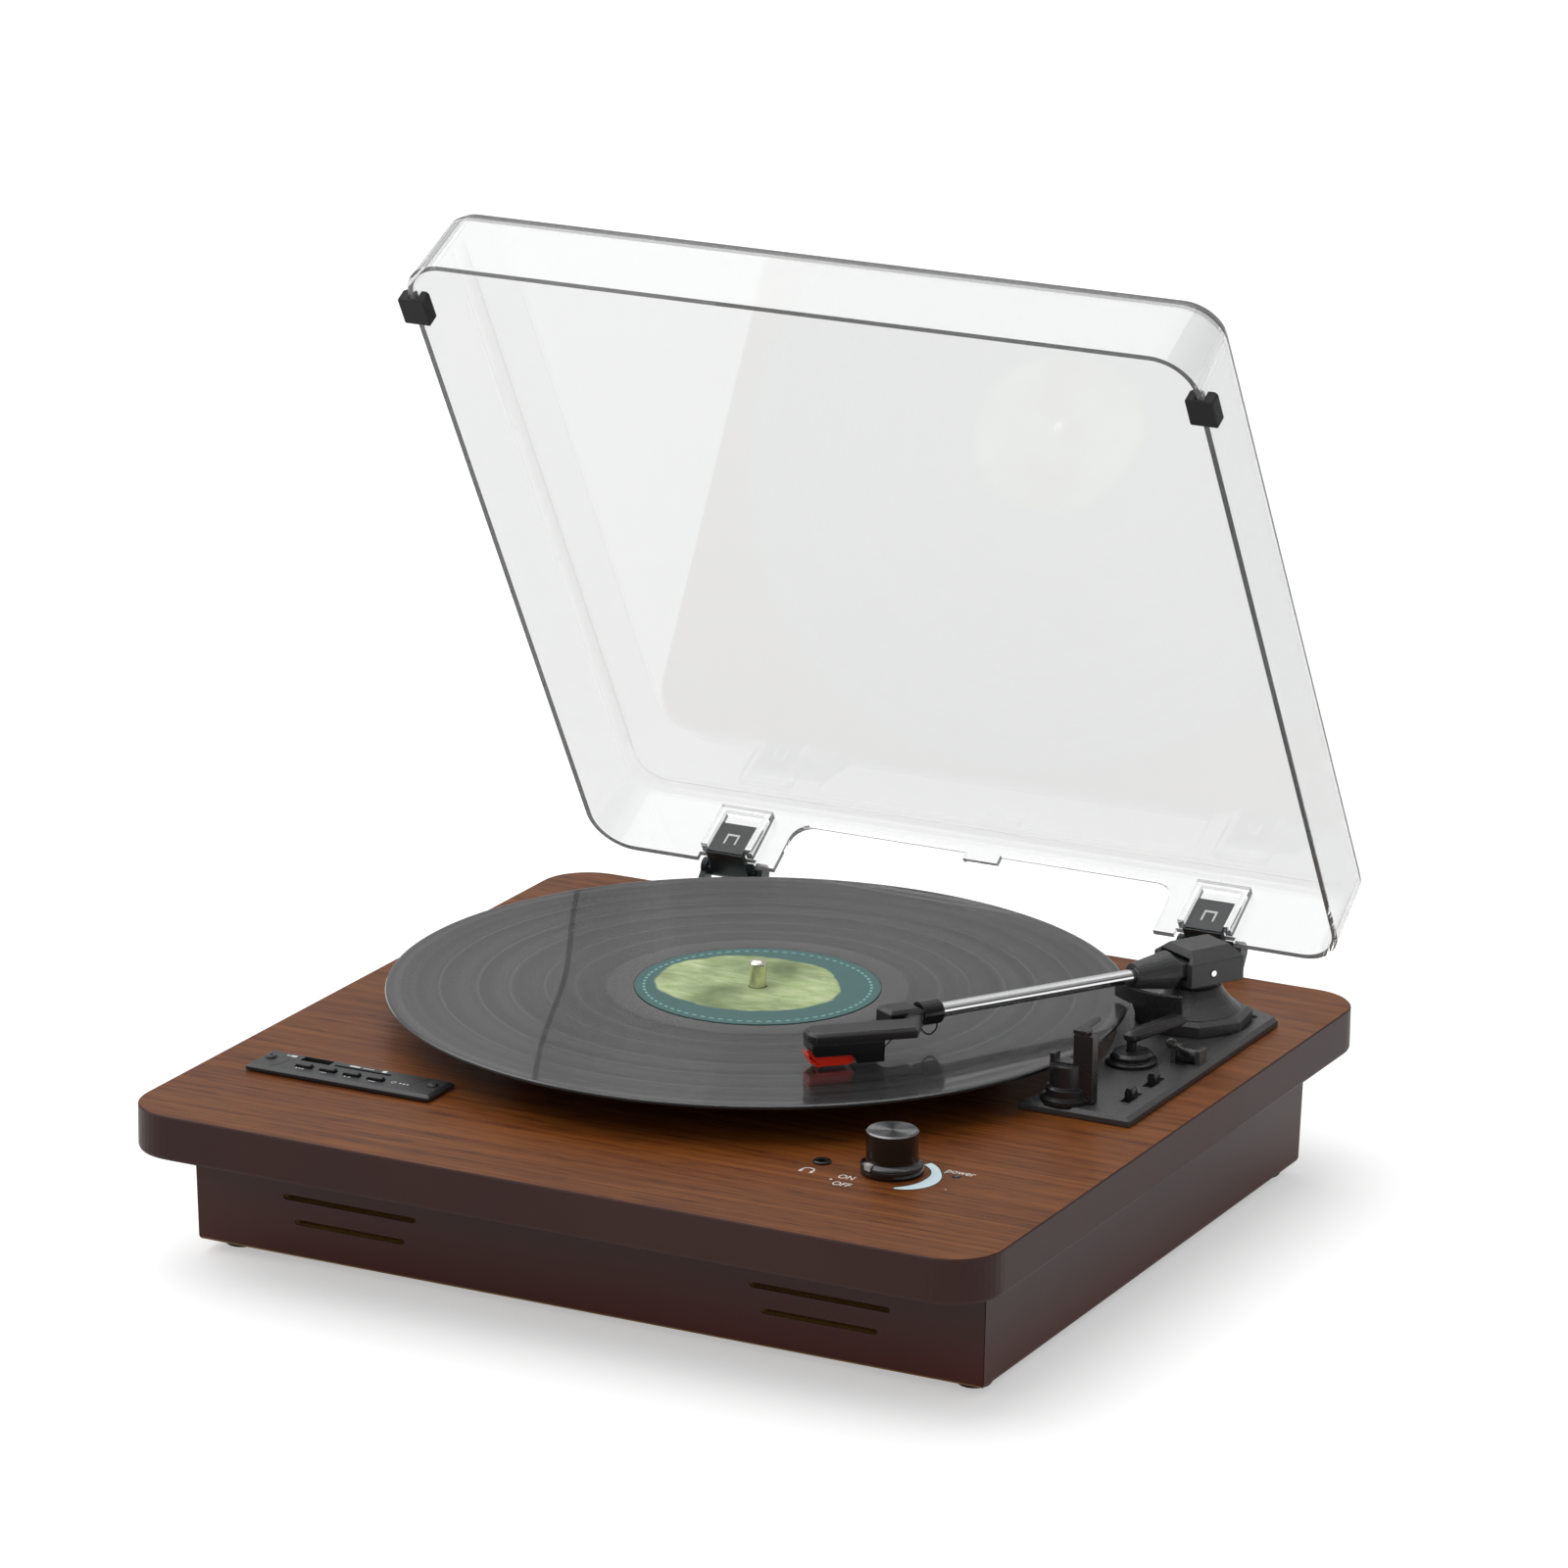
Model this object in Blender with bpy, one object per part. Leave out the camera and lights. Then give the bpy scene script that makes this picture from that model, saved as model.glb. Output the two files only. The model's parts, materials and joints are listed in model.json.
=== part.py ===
"""Turntable record player with a hinged clear lid, an open wooden plinth and a straight tonearm.

Metres, +Z up, +Y to the rear, +X to the right. The origin is on the floor under the middle of the
footprint, lid open. Sizes below are named once; everything that fits to another piece is worked out
from them and from CLEARANCE.
"""

import math

import bmesh
import bpy
from mathutils import Matrix, Vector

CLEARANCE = 0.0003          # gap between two pieces that meet
OVERLAP = 0.0005            # how far joined shapes reach into each other
CUT_THROUGH = 0.004         # how far a cutter runs past the faces it cuts

# Plinth: a wide top board over a narrower box of mitred panels.
DECK_WIDTH = 0.3750
DECK_DEPTH = 0.3686
DECK_THICKNESS = 0.0184
DECK_CORNER_RADIUS = 0.0220
DECK_TOP_EDGE = 0.0005
DECK_BOTTOM_EDGE = 0.0014
BASE_WIDTH = 0.3478
BASE_DEPTH = 0.3008
BASE_SETBACK = 0.0356       # front of the top board to the front panel
BASE_HEIGHT = 0.0450
BASE_TAPER = 0.0010         # the panels lean in towards the bottom
BASE_BOTTOM_EDGE = 0.0016
PANEL_THICKNESS = 0.0090
BOTTOM_THICKNESS = 0.0050
FOOT_HEIGHT = 0.0037
FOOT_RADIUS = 0.0070
FOOT_INSET = 0.0120         # base side to foot centre

# Sound slots in the front panel: a long one over a short one, left and right.
SLOT_HEIGHT = 0.0022
SLOT_LONG = 0.0598
SLOT_SHORT = 0.0495
SLOT_SPREAD = 0.1034        # middle of the panel to the middle of a pair
SLOT_UPPER_Z = 0.0291
SLOT_LOWER_Z = 0.0192
SPEAKER_RADIUS = 0.0185
SPEAKER_DEPTH = 0.0240

# Rotating parts, all about the spindle.
SPINDLE_X = -0.0165
SPINDLE_Y = 0.0315
SPINDLE_RADIUS = 0.00355
SPINDLE_ABOVE_RECORD = 0.0113
RECORD_RADIUS = 0.1510
RECORD_THICKNESS = 0.0018
RECORD_ABOVE_DECK = 0.0160
LABEL_RADIUS = 0.0500
LABEL_THICKNESS = 0.0003
LABEL_RECESS = 0.0005
MAT_RADIUS = 0.0970
MAT_THICKNESS = 0.0020
PLATTER_RADIUS = 0.1000
PLATTER_RIM_HEIGHT = 0.0090
PLATTER_SKIN = 0.0030
PLATTER_WALL = 0.0025
DRUM_RADIUS = 0.0600        # the belt runs on the outside of this ring
DRUM_HEIGHT = 0.0052
HUB_RADIUS = 0.0120
HUB_HEIGHT = 0.0038
BEARING_RADIUS = 0.0090
BEARING_FLANGE_RADIUS = 0.0140
BEARING_LENGTH = 0.0240
PULLEY_RADIUS = 0.0050
PULLEY_GAP = 0.0050          # from the drum to the pulley
PULLEY_ANGLE = 150.0
BELT_WIDTH = 0.0038
BELT_THICKNESS = 0.0010
MOTOR_RADIUS = 0.0175
MOTOR_FLANGE_RADIUS = 0.0240
MOTOR_FLANGE = 0.0015
MOTOR_DEPTH = 0.0260

# Tonearm plate on the right of the deck.
PLATE_RIGHT = 0.1703
PLATE_FRONT = -0.0140
PLATE_REAR = 0.1420
PLATE_LEFT = 0.0950
PLATE_THICKNESS = 0.0037
PLATE_BEVEL = 0.0016
PLATE_RECESS = 0.0011        # floor below the raised border
PLATE_SIDE_BORDER = 0.0072
PLATE_FRONT_BORDER = 0.0115
PLATE_CORNER_WIDTH = 0.0190  # clipped rear corner
PLATE_CORNER_DEPTH = 0.0110
PLATE_HOLLOW_RADIUS = 0.1460

# Tonearm: a vertical bearing on a pedestal, a cross pin in the housing, a tube and a headshell.
ARM_X = 0.1408
ARM_Y = 0.1130
ARM_AXIS_ABOVE_DECK = 0.0267
ARM_HEADING = 240.0         # where the front of the arm points, seen from above
ARM_TILT = 0.8              # the tube rises towards the front
ARM_REACH = 0.1847          # pivot to stylus, along the tube
STYLUS_OFFSET = 0.0023
HEADSHELL_ANGLE = -15.9
TUBE_RADIUS = 0.00295
TUBE_BORE = 0.0022
PEDESTAL_RADIUS = 0.0240
PEDESTAL_TOP_RADIUS = 0.0110
PEDESTAL_FLANGE = 0.0059
STUD_RADIUS = 0.0070
HOUSING_FRONT = 0.0110
HOUSING_BACK = 0.0150
HOUSING_HALF_WIDTH = 0.0130
HOUSING_BELOW_AXIS = 0.0050
HOUSING_ABOVE_AXIS = 0.0093
HOUSING_CHEEK = 0.0033
PIVOT_PIN_RADIUS = 0.0013
SLEEVE_FRONT = 0.0310
SLEEVE_FRONT_RADIUS = 0.0052
SLEEVE_BACK_RADIUS = 0.0080
COLLAR_BACK = 0.1252
COLLAR_FRONT = 0.1350
COLLAR_RADIUS = 0.0050
SHELL_HALF_WIDTH = 0.0070
SHELL_TOP = 0.0020
SHELL_UNDERSIDE = -0.0023
CARTRIDGE_HALF_WIDTH = 0.0062
CARTRIDGE_UNDERSIDE = -0.0113
GUARD_HALF_WIDTH = 0.0040
GUARD_TOP = -0.0080
GUARD_UNDERSIDE = -0.0122

# Arm rest, cue lift and the two switches on the tonearm plate.
REST_SWING = 29.0           # turn of the arm from the record to its rest
REST_DISTANCE = 0.1170      # pivot to the cradle
REST_DEPTH = 0.0050
REST_LIP_WIDTH = 0.0022
REST_SIDE_ROOM = 0.0014     # free step on the open side of the tube
REST_POST_WIDTH = 0.0084
REST_POST_TOP = 0.0320      # above the deck
REST_STEP_TOP = 0.0198
REST_LIP_TOP = 0.0228
REST_FOOT_RADIUS = 0.0102
REST_RING_RADIUS = 0.0084
REST_BODY_RADIUS = 0.0066
CLIP_LENGTH = 0.0170
CLIP_THICKNESS = 0.0016
CLIP_HALF_WIDTH = 0.0012
CUE_X = 0.1615
CUE_Y = 0.0620
CUE_LENGTH = 0.0222
CUE_SLANT = 31.0            # lever above the horizontal when the arm is down
CUE_DRUM_RADIUS = 0.0030
CUE_DRUM_HALF_WIDTH = 0.0040
LIFT_RADIUS = 0.0332        # inner radius of the curved blade about the arm's pivot
LIFT_BLADE = 0.0020
LIFT_BLADE_HEIGHT = 0.0110
LIFT_BAR_HALF_WIDTH = 0.0033
LIFT_BAR_HEIGHT = 0.0048
LIFT_OVER_RECORD = 0.0016   # air under the part of the blade that overhangs the record
DAMPER_X = 0.1410
DAMPER_Y = 0.0520
DAMPER_RADIUS = 0.0105
DAMPER_HEIGHT = 0.0048
PLUNGER_RADIUS = 0.0020
SWITCH_X = 0.1590
SPEED_SWITCH_Y = 0.0125
STOP_SWITCH_Y = 0.0340
SWITCH_TRAVEL = 0.0040
SWITCH_LENGTH = 0.0050
SWITCH_SLOT_DEPTH = 0.0013

# Volume knob, headphone socket and power lamp at the front right.
KNOB_X = 0.1121
KNOB_Y = -0.1048
KNOB_RADIUS = 0.0102
KNOB_SKIRT_RADIUS = 0.01225
KNOB_HEIGHT = 0.0174
KNOB_SHAFT_RADIUS = 0.0030
JACK_X = 0.0836
JACK_Y = -0.1077
JACK_RING_RADIUS = 0.0036
JACK_BORE = 0.00175
JACK_BARREL_RADIUS = 0.0030
LAMP_X = 0.1363
LAMP_Y = -0.0980
LAMP_RADIUS = 0.0015

# Control panel at the front left.
CONTROL_X = -0.1254
CONTROL_Y = -0.1098
CONTROL_WIDTH = 0.0840
CONTROL_DEPTH = 0.0216
CONTROL_THICKNESS = 0.0025
CONTROL_BEVEL = 0.0016
CONTROL_TRAY_WIDTH = 0.0680
CONTROL_TRAY_DEPTH = 0.0198
CONTROL_TRAY_DROP = 0.0060
BUTTON_NAMES = ("mode", "previous", "play", "next")
BUTTON_PITCH = 0.0109
BUTTON_FIRST_X = -0.0194    # from the middle of the control panel
BUTTON_Y = -0.0022
BUTTON_WIDTH = 0.0072
BUTTON_DEPTH = 0.0030
BUTTON_RISE = 0.0014
USB_X = -0.0184
USB_Y = 0.0062
USB_WIDTH = 0.0132
USB_DEPTH = 0.0050
CARD_X = 0.0034
CARD_Y = 0.0047
CARD_WIDTH = 0.0258
CARD_DEPTH = 0.0018
PANEL_SCREW_X = 0.0370
PANEL_SCREW_Y = 0.0016
SCREW_HEAD_RADIUS = 0.0021
SCREW_SHANK_RADIUS = 0.0010

# Clear lid, described closed and about its hinge axis, then swung open.
LID_WIDTH = 0.3506
LID_DEPTH = 0.3370
LID_HEIGHT = 0.0372
LID_WALL = 0.0024
LID_DRAFT = 0.0022
LID_CORNER_RADIUS = 0.0190
LID_OPEN_ANGLE = 59.5
LID_RIM_GAP = 0.0023        # closed rim above the deck
HINGE_BEHIND_DECK = 0.0110
HINGE_ABOVE_DECK = 0.0068
HINGE_TO_WALL = 0.0077      # hinge axis to the rear wall's outer face, lid closed
HINGE_SPREAD = 0.1120       # middle of the lid to each hinge
HINGE_KNUCKLE_RADIUS = 0.0038
HINGE_HALF_WIDTH = 0.0118
HINGE_EAR = 0.0030
HINGE_PIN_RADIUS = 0.0016
TONGUE_THICKNESS = 0.0020
TONGUE_HALF_WIDTH = 0.0087
TONGUE_REACH = 0.0182       # above the rim
TONGUE_WALL_GAP = 0.0018
WINDOW_HALF_WIDTH = 0.0890
WINDOW_HEIGHT = 0.0264
WINDOW_RADIUS = 0.0090
BUMPER_FROM_FRONT = 0.0260
BUMPER_LENGTH = 0.0130
BUMPER_WIDTH = 0.0120

# Sockets at the rear and the boards inside.
SOCKET_PLATE_X = 0.0900
SOCKET_PLATE_WIDTH = 0.0620
SOCKET_PLATE_HEIGHT = 0.0220
SOCKET_PLATE_THICKNESS = 0.0015
PHONO_RADIUS = 0.0041
PHONO_LENGTH = 0.0090
PHONO_SPACING = 0.0160
POWER_INLET_RADIUS = 0.0044
POWER_INLET_BORE = 0.0028
BOARD_WIDTH = 0.0900
BOARD_DEPTH = 0.0550
BOARD_THICKNESS = 0.0016
STANDOFF_HEIGHT = 0.0050

# Worked out from the sizes above.
BASE_BOTTOM = FOOT_HEIGHT + CLEARANCE
PANEL_TOP = BASE_BOTTOM + BASE_HEIGHT
DECK_UNDERSIDE = PANEL_TOP + CLEARANCE
DECK_TOP = DECK_UNDERSIDE + DECK_THICKNESS
BASE_FRONT = -DECK_DEPTH / 2 + BASE_SETBACK
BASE_REAR = BASE_FRONT + BASE_DEPTH
ON_DECK = DECK_TOP + CLEARANCE
RECORD_TOP = DECK_TOP + RECORD_ABOVE_DECK
RECORD_UNDERSIDE = RECORD_TOP - RECORD_THICKNESS
MAT_TOP = RECORD_UNDERSIDE - CLEARANCE
PLATTER_TOP = MAT_TOP - MAT_THICKNESS - CLEARANCE
PLATTER_CEILING = PLATTER_TOP - PLATTER_SKIN
HUB_BOTTOM = PLATTER_CEILING - HUB_HEIGHT
SPINDLE_BORE = SPINDLE_RADIUS + CLEARANCE
PLATE_TOP = ON_DECK + PLATE_THICKNESS
PLATE_FLOOR = PLATE_TOP - PLATE_RECESS
ON_PLATE = PLATE_FLOOR + CLEARANCE
ARM_Z = DECK_TOP + ARM_AXIS_ABOVE_DECK
PULLEY_DISTANCE = DRUM_RADIUS + PULLEY_RADIUS + PULLEY_GAP    # spindle to motor shaft
PULLEY_X = SPINDLE_X + PULLEY_DISTANCE * math.cos(math.radians(PULLEY_ANGLE))
PULLEY_Y = SPINDLE_Y + PULLEY_DISTANCE * math.sin(math.radians(PULLEY_ANGLE))
HINGE_Y = DECK_DEPTH / 2 + HINGE_BEHIND_DECK
HINGE_Z = DECK_TOP + HINGE_ABOVE_DECK
RIM_Z = DECK_TOP + LID_RIM_GAP - HINGE_Z      # closed rim, from the hinge axis
LID_REAR = -HINGE_TO_WALL                      # closed rear wall, from the hinge axis

BLACK_PLASTIC = ((0.020, 0.020, 0.022), 0.55, 0.0)
GLOSS_BLACK = ((0.012, 0.012, 0.013), 0.25, 0.0)
WALNUT_TOP = ((0.150, 0.070, 0.032), 0.40, 0.0)
WALNUT_SIDE = ((0.045, 0.018, 0.014), 0.42, 0.0)
RAW_BOARD = ((0.330, 0.200, 0.090), 0.80, 0.0)
VINYL = ((0.018, 0.018, 0.019), 0.22, 0.0)
PAPER_LABEL = ((0.060, 0.200, 0.180), 0.60, 0.0)
FELT = ((0.025, 0.025, 0.027), 0.95, 0.0)
RUBBER = ((0.015, 0.015, 0.015), 0.85, 0.0)
ALUMINIUM = ((0.600, 0.600, 0.610), 0.35, 1.0)
STEEL = ((0.550, 0.550, 0.560), 0.30, 1.0)
CHROME = ((0.800, 0.800, 0.800), 0.08, 1.0)
BRASS = ((0.650, 0.480, 0.220), 0.30, 1.0)
RED_PLASTIC = ((0.620, 0.030, 0.015), 0.35, 0.0)
CIRCUIT_GREEN = ((0.030, 0.160, 0.070), 0.50, 0.0)
CLEAR_ACRYLIC = ((0.900, 0.920, 0.920), 0.05, 0.0)


def clear_scene():
    for obj in list(bpy.data.objects):
        bpy.data.objects.remove(obj, do_unlink=True)


def new_material(name, finish):
    colour, roughness, metallic = finish
    material = bpy.data.materials.new(name)
    material.use_nodes = True
    shader = material.node_tree.nodes["Principled BSDF"]
    shader.inputs["Base Color"].default_value = (*colour, 1.0)
    shader.inputs["Roughness"].default_value = roughness
    shader.inputs["Metallic"].default_value = metallic
    return material


def empty(name, location, parent=None, rotation=(0.0, 0.0, 0.0)):
    obj = bpy.data.objects.new(name, None)
    obj.empty_display_size = 0.02
    obj.location = location
    obj.rotation_euler = rotation
    obj.parent = parent
    bpy.context.collection.objects.link(obj)
    return obj


def finish_mesh(bm, name):
    bmesh.ops.recalc_face_normals(bm, faces=bm.faces)
    if bm.calc_volume(signed=True) < 0.0:
        bmesh.ops.reverse_faces(bm, faces=bm.faces)
    mesh = bpy.data.meshes.new(name)
    bm.to_mesh(mesh)
    bm.free()
    mesh.shade_smooth()
    mesh.set_sharp_from_angle(angle=math.radians(35))
    return mesh


def piece(name, bm, finish, parent, location=(0.0, 0.0, 0.0), rotation=(0.0, 0.0, 0.0)):
    """A named sub-part with its own material, placed under its parent."""
    mesh = finish_mesh(bm, name)
    mesh.materials.append(new_material(name, finish))
    obj = bpy.data.objects.new(name, mesh)
    obj.parent = parent
    obj.location = location
    obj.rotation_euler = rotation
    bpy.context.collection.objects.link(obj)
    return obj


def tool(target, bm, operation, label):
    """A hidden shape that cuts or joins its target, in the target's own frame."""
    cutter = bpy.data.objects.new(f"{target.name}.{label}", finish_mesh(bm, label))
    cutter.parent = target
    cutter.hide_render = True
    cutter.display_type = "WIRE"
    bpy.context.collection.objects.link(cutter)
    modifier = target.modifiers.new(label, "BOOLEAN")
    modifier.operation = operation
    modifier.solver = "EXACT"
    modifier.object = cutter
    return cutter


def cut(target, bm, label="cut"):
    return tool(target, bm, "DIFFERENCE", label)


def join(target, bm, label="join"):
    return tool(target, bm, "UNION", label)


def loft(rings, bm=None):
    """Closed body through rings of equal length, with a flat cap at each end."""
    bm = bm or bmesh.new()
    rows = [[bm.verts.new(point) for point in ring] for ring in rings]
    for lower, upper in zip(rows, rows[1:]):
        count = len(lower)
        for i in range(count):
            j = (i + 1) % count
            bm.faces.new((lower[i], lower[j], upper[j], upper[i]))
    bm.faces.new(list(reversed(rows[0])))
    bm.faces.new(rows[-1])
    return bm


def loop_body(rings, bm=None):
    """Closed ring-shaped body: the last ring joins the first."""
    bm = bm or bmesh.new()
    rows = [[bm.verts.new(point) for point in ring] for ring in rings]
    for k, lower in enumerate(rows):
        upper = rows[(k + 1) % len(rows)]
        count = len(lower)
        for i in range(count):
            j = (i + 1) % count
            bm.faces.new((lower[i], lower[j], upper[j], upper[i]))
    return bm


def turned(profile, segments=32, bm=None):
    """Body of revolution about Z from a closed (radius, height) outline."""
    bm = bm or bmesh.new()
    rows = []
    for radius, height in profile:
        if radius < 1e-9:
            rows.append([bm.verts.new((0.0, 0.0, height))])
            continue
        step = 2 * math.pi / segments
        rows.append([bm.verts.new((radius * math.cos(k * step), radius * math.sin(k * step), height))
                     for k in range(segments)])
    for k, here in enumerate(rows):
        there = rows[(k + 1) % len(rows)]
        if len(here) == 1 and len(there) == 1:
            continue
        for i in range(segments):
            j = (i + 1) % segments
            if len(here) == 1:
                bm.faces.new((here[0], there[j], there[i]))
            elif len(there) == 1:
                bm.faces.new((here[i], here[j], there[0]))
            else:
                bm.faces.new((here[i], here[j], there[j], there[i]))
    return bm


def prism(outline, low, high, axis="Z", bm=None):
    """Flat outline extruded along an axis: (x, y) along Z, (x, z) along Y, (y, z) along X."""
    place = {"Z": lambda a, b, c: (a, b, c), "Y": lambda a, b, c: (a, c, b), "X": lambda a, b, c: (c, a, b)}
    return loft([[place[axis](a, b, level) for a, b in outline] for level in (low, high)], bm)


def box(low, high, bm=None):
    outline = ((low[0], low[1]), (high[0], low[1]), (high[0], high[1]), (low[0], high[1]))
    return prism(outline, low[2], high[2], bm=bm)


def centred_box(x, y, width, depth, low, high, bm=None):
    return box((x - width / 2, y - depth / 2, low), (x + width / 2, y + depth / 2, high), bm)


def arc(cx, cy, radius, start, end, steps):
    """Points on a circle from one angle to another, in degrees, ends included."""
    angles = (math.radians(start + (end - start) * k / steps) for k in range(steps + 1))
    return [(cx + radius * math.cos(a), cy + radius * math.sin(a)) for a in angles]


def circle(cx, cy, radius, count=24):
    return arc(cx, cy, radius, 0.0, 360.0 * (count - 1) / count, count - 1)


def rounded_rectangle(width, depth, radius, cx=0.0, cy=0.0, steps=6):
    radius = max(0.0002, min(radius, width / 2 - 0.0001, depth / 2 - 0.0001))
    x = width / 2 - radius
    y = depth / 2 - radius
    points = arc(cx + x, cy + y, radius, 0, 90, steps) + arc(cx - x, cy + y, radius, 90, 180, steps)
    return points + arc(cx - x, cy - y, radius, 180, 270, steps) + arc(cx + x, cy - y, radius, 270, 360,
                                                                       steps)


def at_height(outline, z):
    return [(x, y, z) for x, y in outline]


def inset(outline, distance):
    """Outline moved inwards; points run anticlockwise."""
    moved = []
    count = len(outline)
    for i, point in enumerate(outline):
        before = Vector(outline[i - 1])
        here = Vector(point)
        after = Vector(outline[(i + 1) % count])
        first = (here - before).normalized()
        second = (after - here).normalized()
        normal_a = Vector((-first.y, first.x))
        normal_b = Vector((-second.y, second.x))
        middle = (normal_a + normal_b).normalized()
        moved.append(tuple(here + middle * distance / max(0.3, middle.dot(normal_a))))
    return moved


def hole(bm, x, y, radius, low, high, count=20):
    return prism(circle(x, y, radius, count), low, high, bm=bm)


def top_board(root):
    def outline(by):
        width = DECK_WIDTH - 2 * by
        depth = DECK_DEPTH - 2 * by
        return rounded_rectangle(width, depth, DECK_CORNER_RADIUS - by, steps=12)

    board = piece("top_board", loft([
        at_height(outline(DECK_BOTTOM_EDGE), DECK_UNDERSIDE),
        at_height(outline(DECK_BOTTOM_EDGE * 0.3), DECK_UNDERSIDE + DECK_BOTTOM_EDGE * 0.3),
        at_height(outline(0.0), DECK_UNDERSIDE + DECK_BOTTOM_EDGE),
        at_height(outline(0.0), DECK_TOP - DECK_TOP_EDGE),
        at_height(outline(DECK_TOP_EDGE), DECK_TOP),
    ]), WALNUT_TOP, root)
    low = DECK_UNDERSIDE - CUT_THROUGH
    high = DECK_TOP + CUT_THROUGH
    holes = bmesh.new()
    hole(holes, SPINDLE_X, SPINDLE_Y, BEARING_RADIUS + CLEARANCE, low, high, 24)
    hole(holes, PULLEY_X, PULLEY_Y, MOTOR_RADIUS + CLEARANCE, low, high, 28)
    hole(holes, ARM_X, ARM_Y, STUD_RADIUS + CLEARANCE, low, high)
    hole(holes, KNOB_X, KNOB_Y, KNOB_SHAFT_RADIUS + 0.0015 + CLEARANCE, low, high)
    hole(holes, JACK_X, JACK_Y, JACK_BARREL_RADIUS + CLEARANCE, low, high, 16)
    hole(holes, LAMP_X, LAMP_Y, LAMP_RADIUS + CLEARANCE, low, high, 12)
    centred_box(CONTROL_X, CONTROL_Y, CONTROL_TRAY_WIDTH + 2 * CLEARANCE,
                CONTROL_TRAY_DEPTH + 2 * CLEARANCE, low, high, holes)
    cut(board, holes)


def panel_rings(corners):
    """A mitred panel: two outer corners, two inner ones and the way in, leaning to a rounded bottom edge."""
    (ax, ay), (bx, by), (cx, cy), (dx, dy), (nx, ny) = corners
    along = Vector((bx - ax, by - ay)).normalized()
    inward = Vector((nx, ny))
    rings = []
    for z, lean in ((BASE_BOTTOM, BASE_TAPER + BASE_BOTTOM_EDGE),
                    (BASE_BOTTOM + BASE_BOTTOM_EDGE * 0.3, BASE_TAPER + BASE_BOTTOM_EDGE * 0.3),
                    (BASE_BOTTOM + BASE_BOTTOM_EDGE, BASE_TAPER), (PANEL_TOP, 0.0)):
        a = Vector((ax, ay)) + (inward + along) * lean
        b = Vector((bx, by)) + (inward - along) * lean
        rings.append([(a.x, a.y, z), (b.x, b.y, z), (cx, cy, z), (dx, dy, z)])
    return rings


def base_panels(root):
    half = BASE_WIDTH / 2
    mitre = CLEARANCE / math.sqrt(2.0)
    wall = PANEL_THICKNESS
    front, rear = BASE_FRONT, BASE_REAR
    shapes = {
        "front_panel": ((-half + mitre, front), (half - mitre, front),
                        (half - wall - mitre, front + wall), (-half + wall + mitre, front + wall), (0, 1)),
        "rear_panel": ((half - mitre, rear), (-half + mitre, rear),
                       (-half + wall + mitre, rear - wall), (half - wall - mitre, rear - wall), (0, -1)),
        "left_panel": ((-half, rear - mitre), (-half, front + mitre),
                       (-half + wall, front + wall + mitre), (-half + wall, rear - wall - mitre), (1, 0)),
        "right_panel": ((half, front + mitre), (half, rear - mitre),
                        (half - wall, rear - wall - mitre), (half - wall, front + wall + mitre), (-1, 0)),
    }
    panels = {name: piece(name, loft(panel_rings(corners)), WALNUT_SIDE, root)
              for name, corners in shapes.items()}
    slots = bmesh.new()
    for side in (-1, 1):
        for z, length in ((SLOT_UPPER_Z, SLOT_LONG), (SLOT_LOWER_Z, SLOT_SHORT)):
            outline = rounded_rectangle(length, SLOT_HEIGHT, SLOT_HEIGHT / 2, side * SLOT_SPREAD, z, 3)
            prism(outline, front - CUT_THROUGH, front + wall + CUT_THROUGH, "Y", slots)
    cut(panels["front_panel"], slots)
    socket_z = (BASE_BOTTOM + PANEL_TOP) / 2
    openings = bmesh.new()
    for x, radius in socket_places():
        prism(circle(x, socket_z, radius + CLEARANCE, 16), rear - wall - CUT_THROUGH, rear + CUT_THROUGH,
              "Y", openings)
    cut(panels["rear_panel"], openings)


def bottom(root):
    gap = PANEL_THICKNESS + CLEARANCE
    half = BASE_WIDTH / 2 - gap
    board = box((-half, BASE_FRONT + gap, BASE_BOTTOM),
                (half, BASE_REAR - gap, BASE_BOTTOM + BOTTOM_THICKNESS))
    piece("bottom_board", board, RAW_BOARD, root)
    for side, x in (("left", -1), ("right", 1)):
        for end, y in (("front", BASE_FRONT + FOOT_INSET + 0.004), ("rear", BASE_REAR - FOOT_INSET)):
            foot = turned([(0.0, 0.0), (FOOT_RADIUS - 0.0008, 0.0), (FOOT_RADIUS, 0.0008),
                           (FOOT_RADIUS, FOOT_HEIGHT), (0.0, FOOT_HEIGHT)], 20)
            piece(f"foot_{end}_{side}", foot, RUBBER, root, (x * (BASE_WIDTH / 2 - FOOT_INSET), y, 0.0))


def speakers(root):
    """Cone drivers behind the sound slots, facing the front."""
    floor = BASE_BOTTOM + BOTTOM_THICKNESS + CLEARANCE
    ceiling = DECK_UNDERSIDE - CLEARANCE
    r = min(SPEAKER_RADIUS, (ceiling - floor) / 2)
    z = min(max((SLOT_UPPER_Z + SLOT_LOWER_Z) / 2 + 0.005, floor + r), ceiling - r)
    face = BASE_FRONT + PANEL_THICKNESS + CLEARANCE
    outline = [(0.0, 0.0070), (r * 0.30, 0.0062), (r * 0.80, 0.0012), (r * 0.86, 0.0), (r, 0.0), (r, 0.0020),
               (r * 0.62, SPEAKER_DEPTH * 0.55), (r * 0.62, SPEAKER_DEPTH), (0.0, SPEAKER_DEPTH)]
    for side, x in (("left", -SLOT_SPREAD), ("right", SLOT_SPREAD)):
        piece(f"speaker_{side}", turned(outline, 28), RUBBER, root, (x, face, z),
              (math.radians(-90), 0.0, 0.0))


def socket_places():
    """Centre x and radius of each hole that the rear sockets pass through."""
    left = SOCKET_PLATE_X - PHONO_SPACING
    return ((left, PHONO_RADIUS), (left + PHONO_SPACING, PHONO_RADIUS),
            (left + 2.2 * PHONO_SPACING, POWER_INLET_RADIUS))


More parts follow.
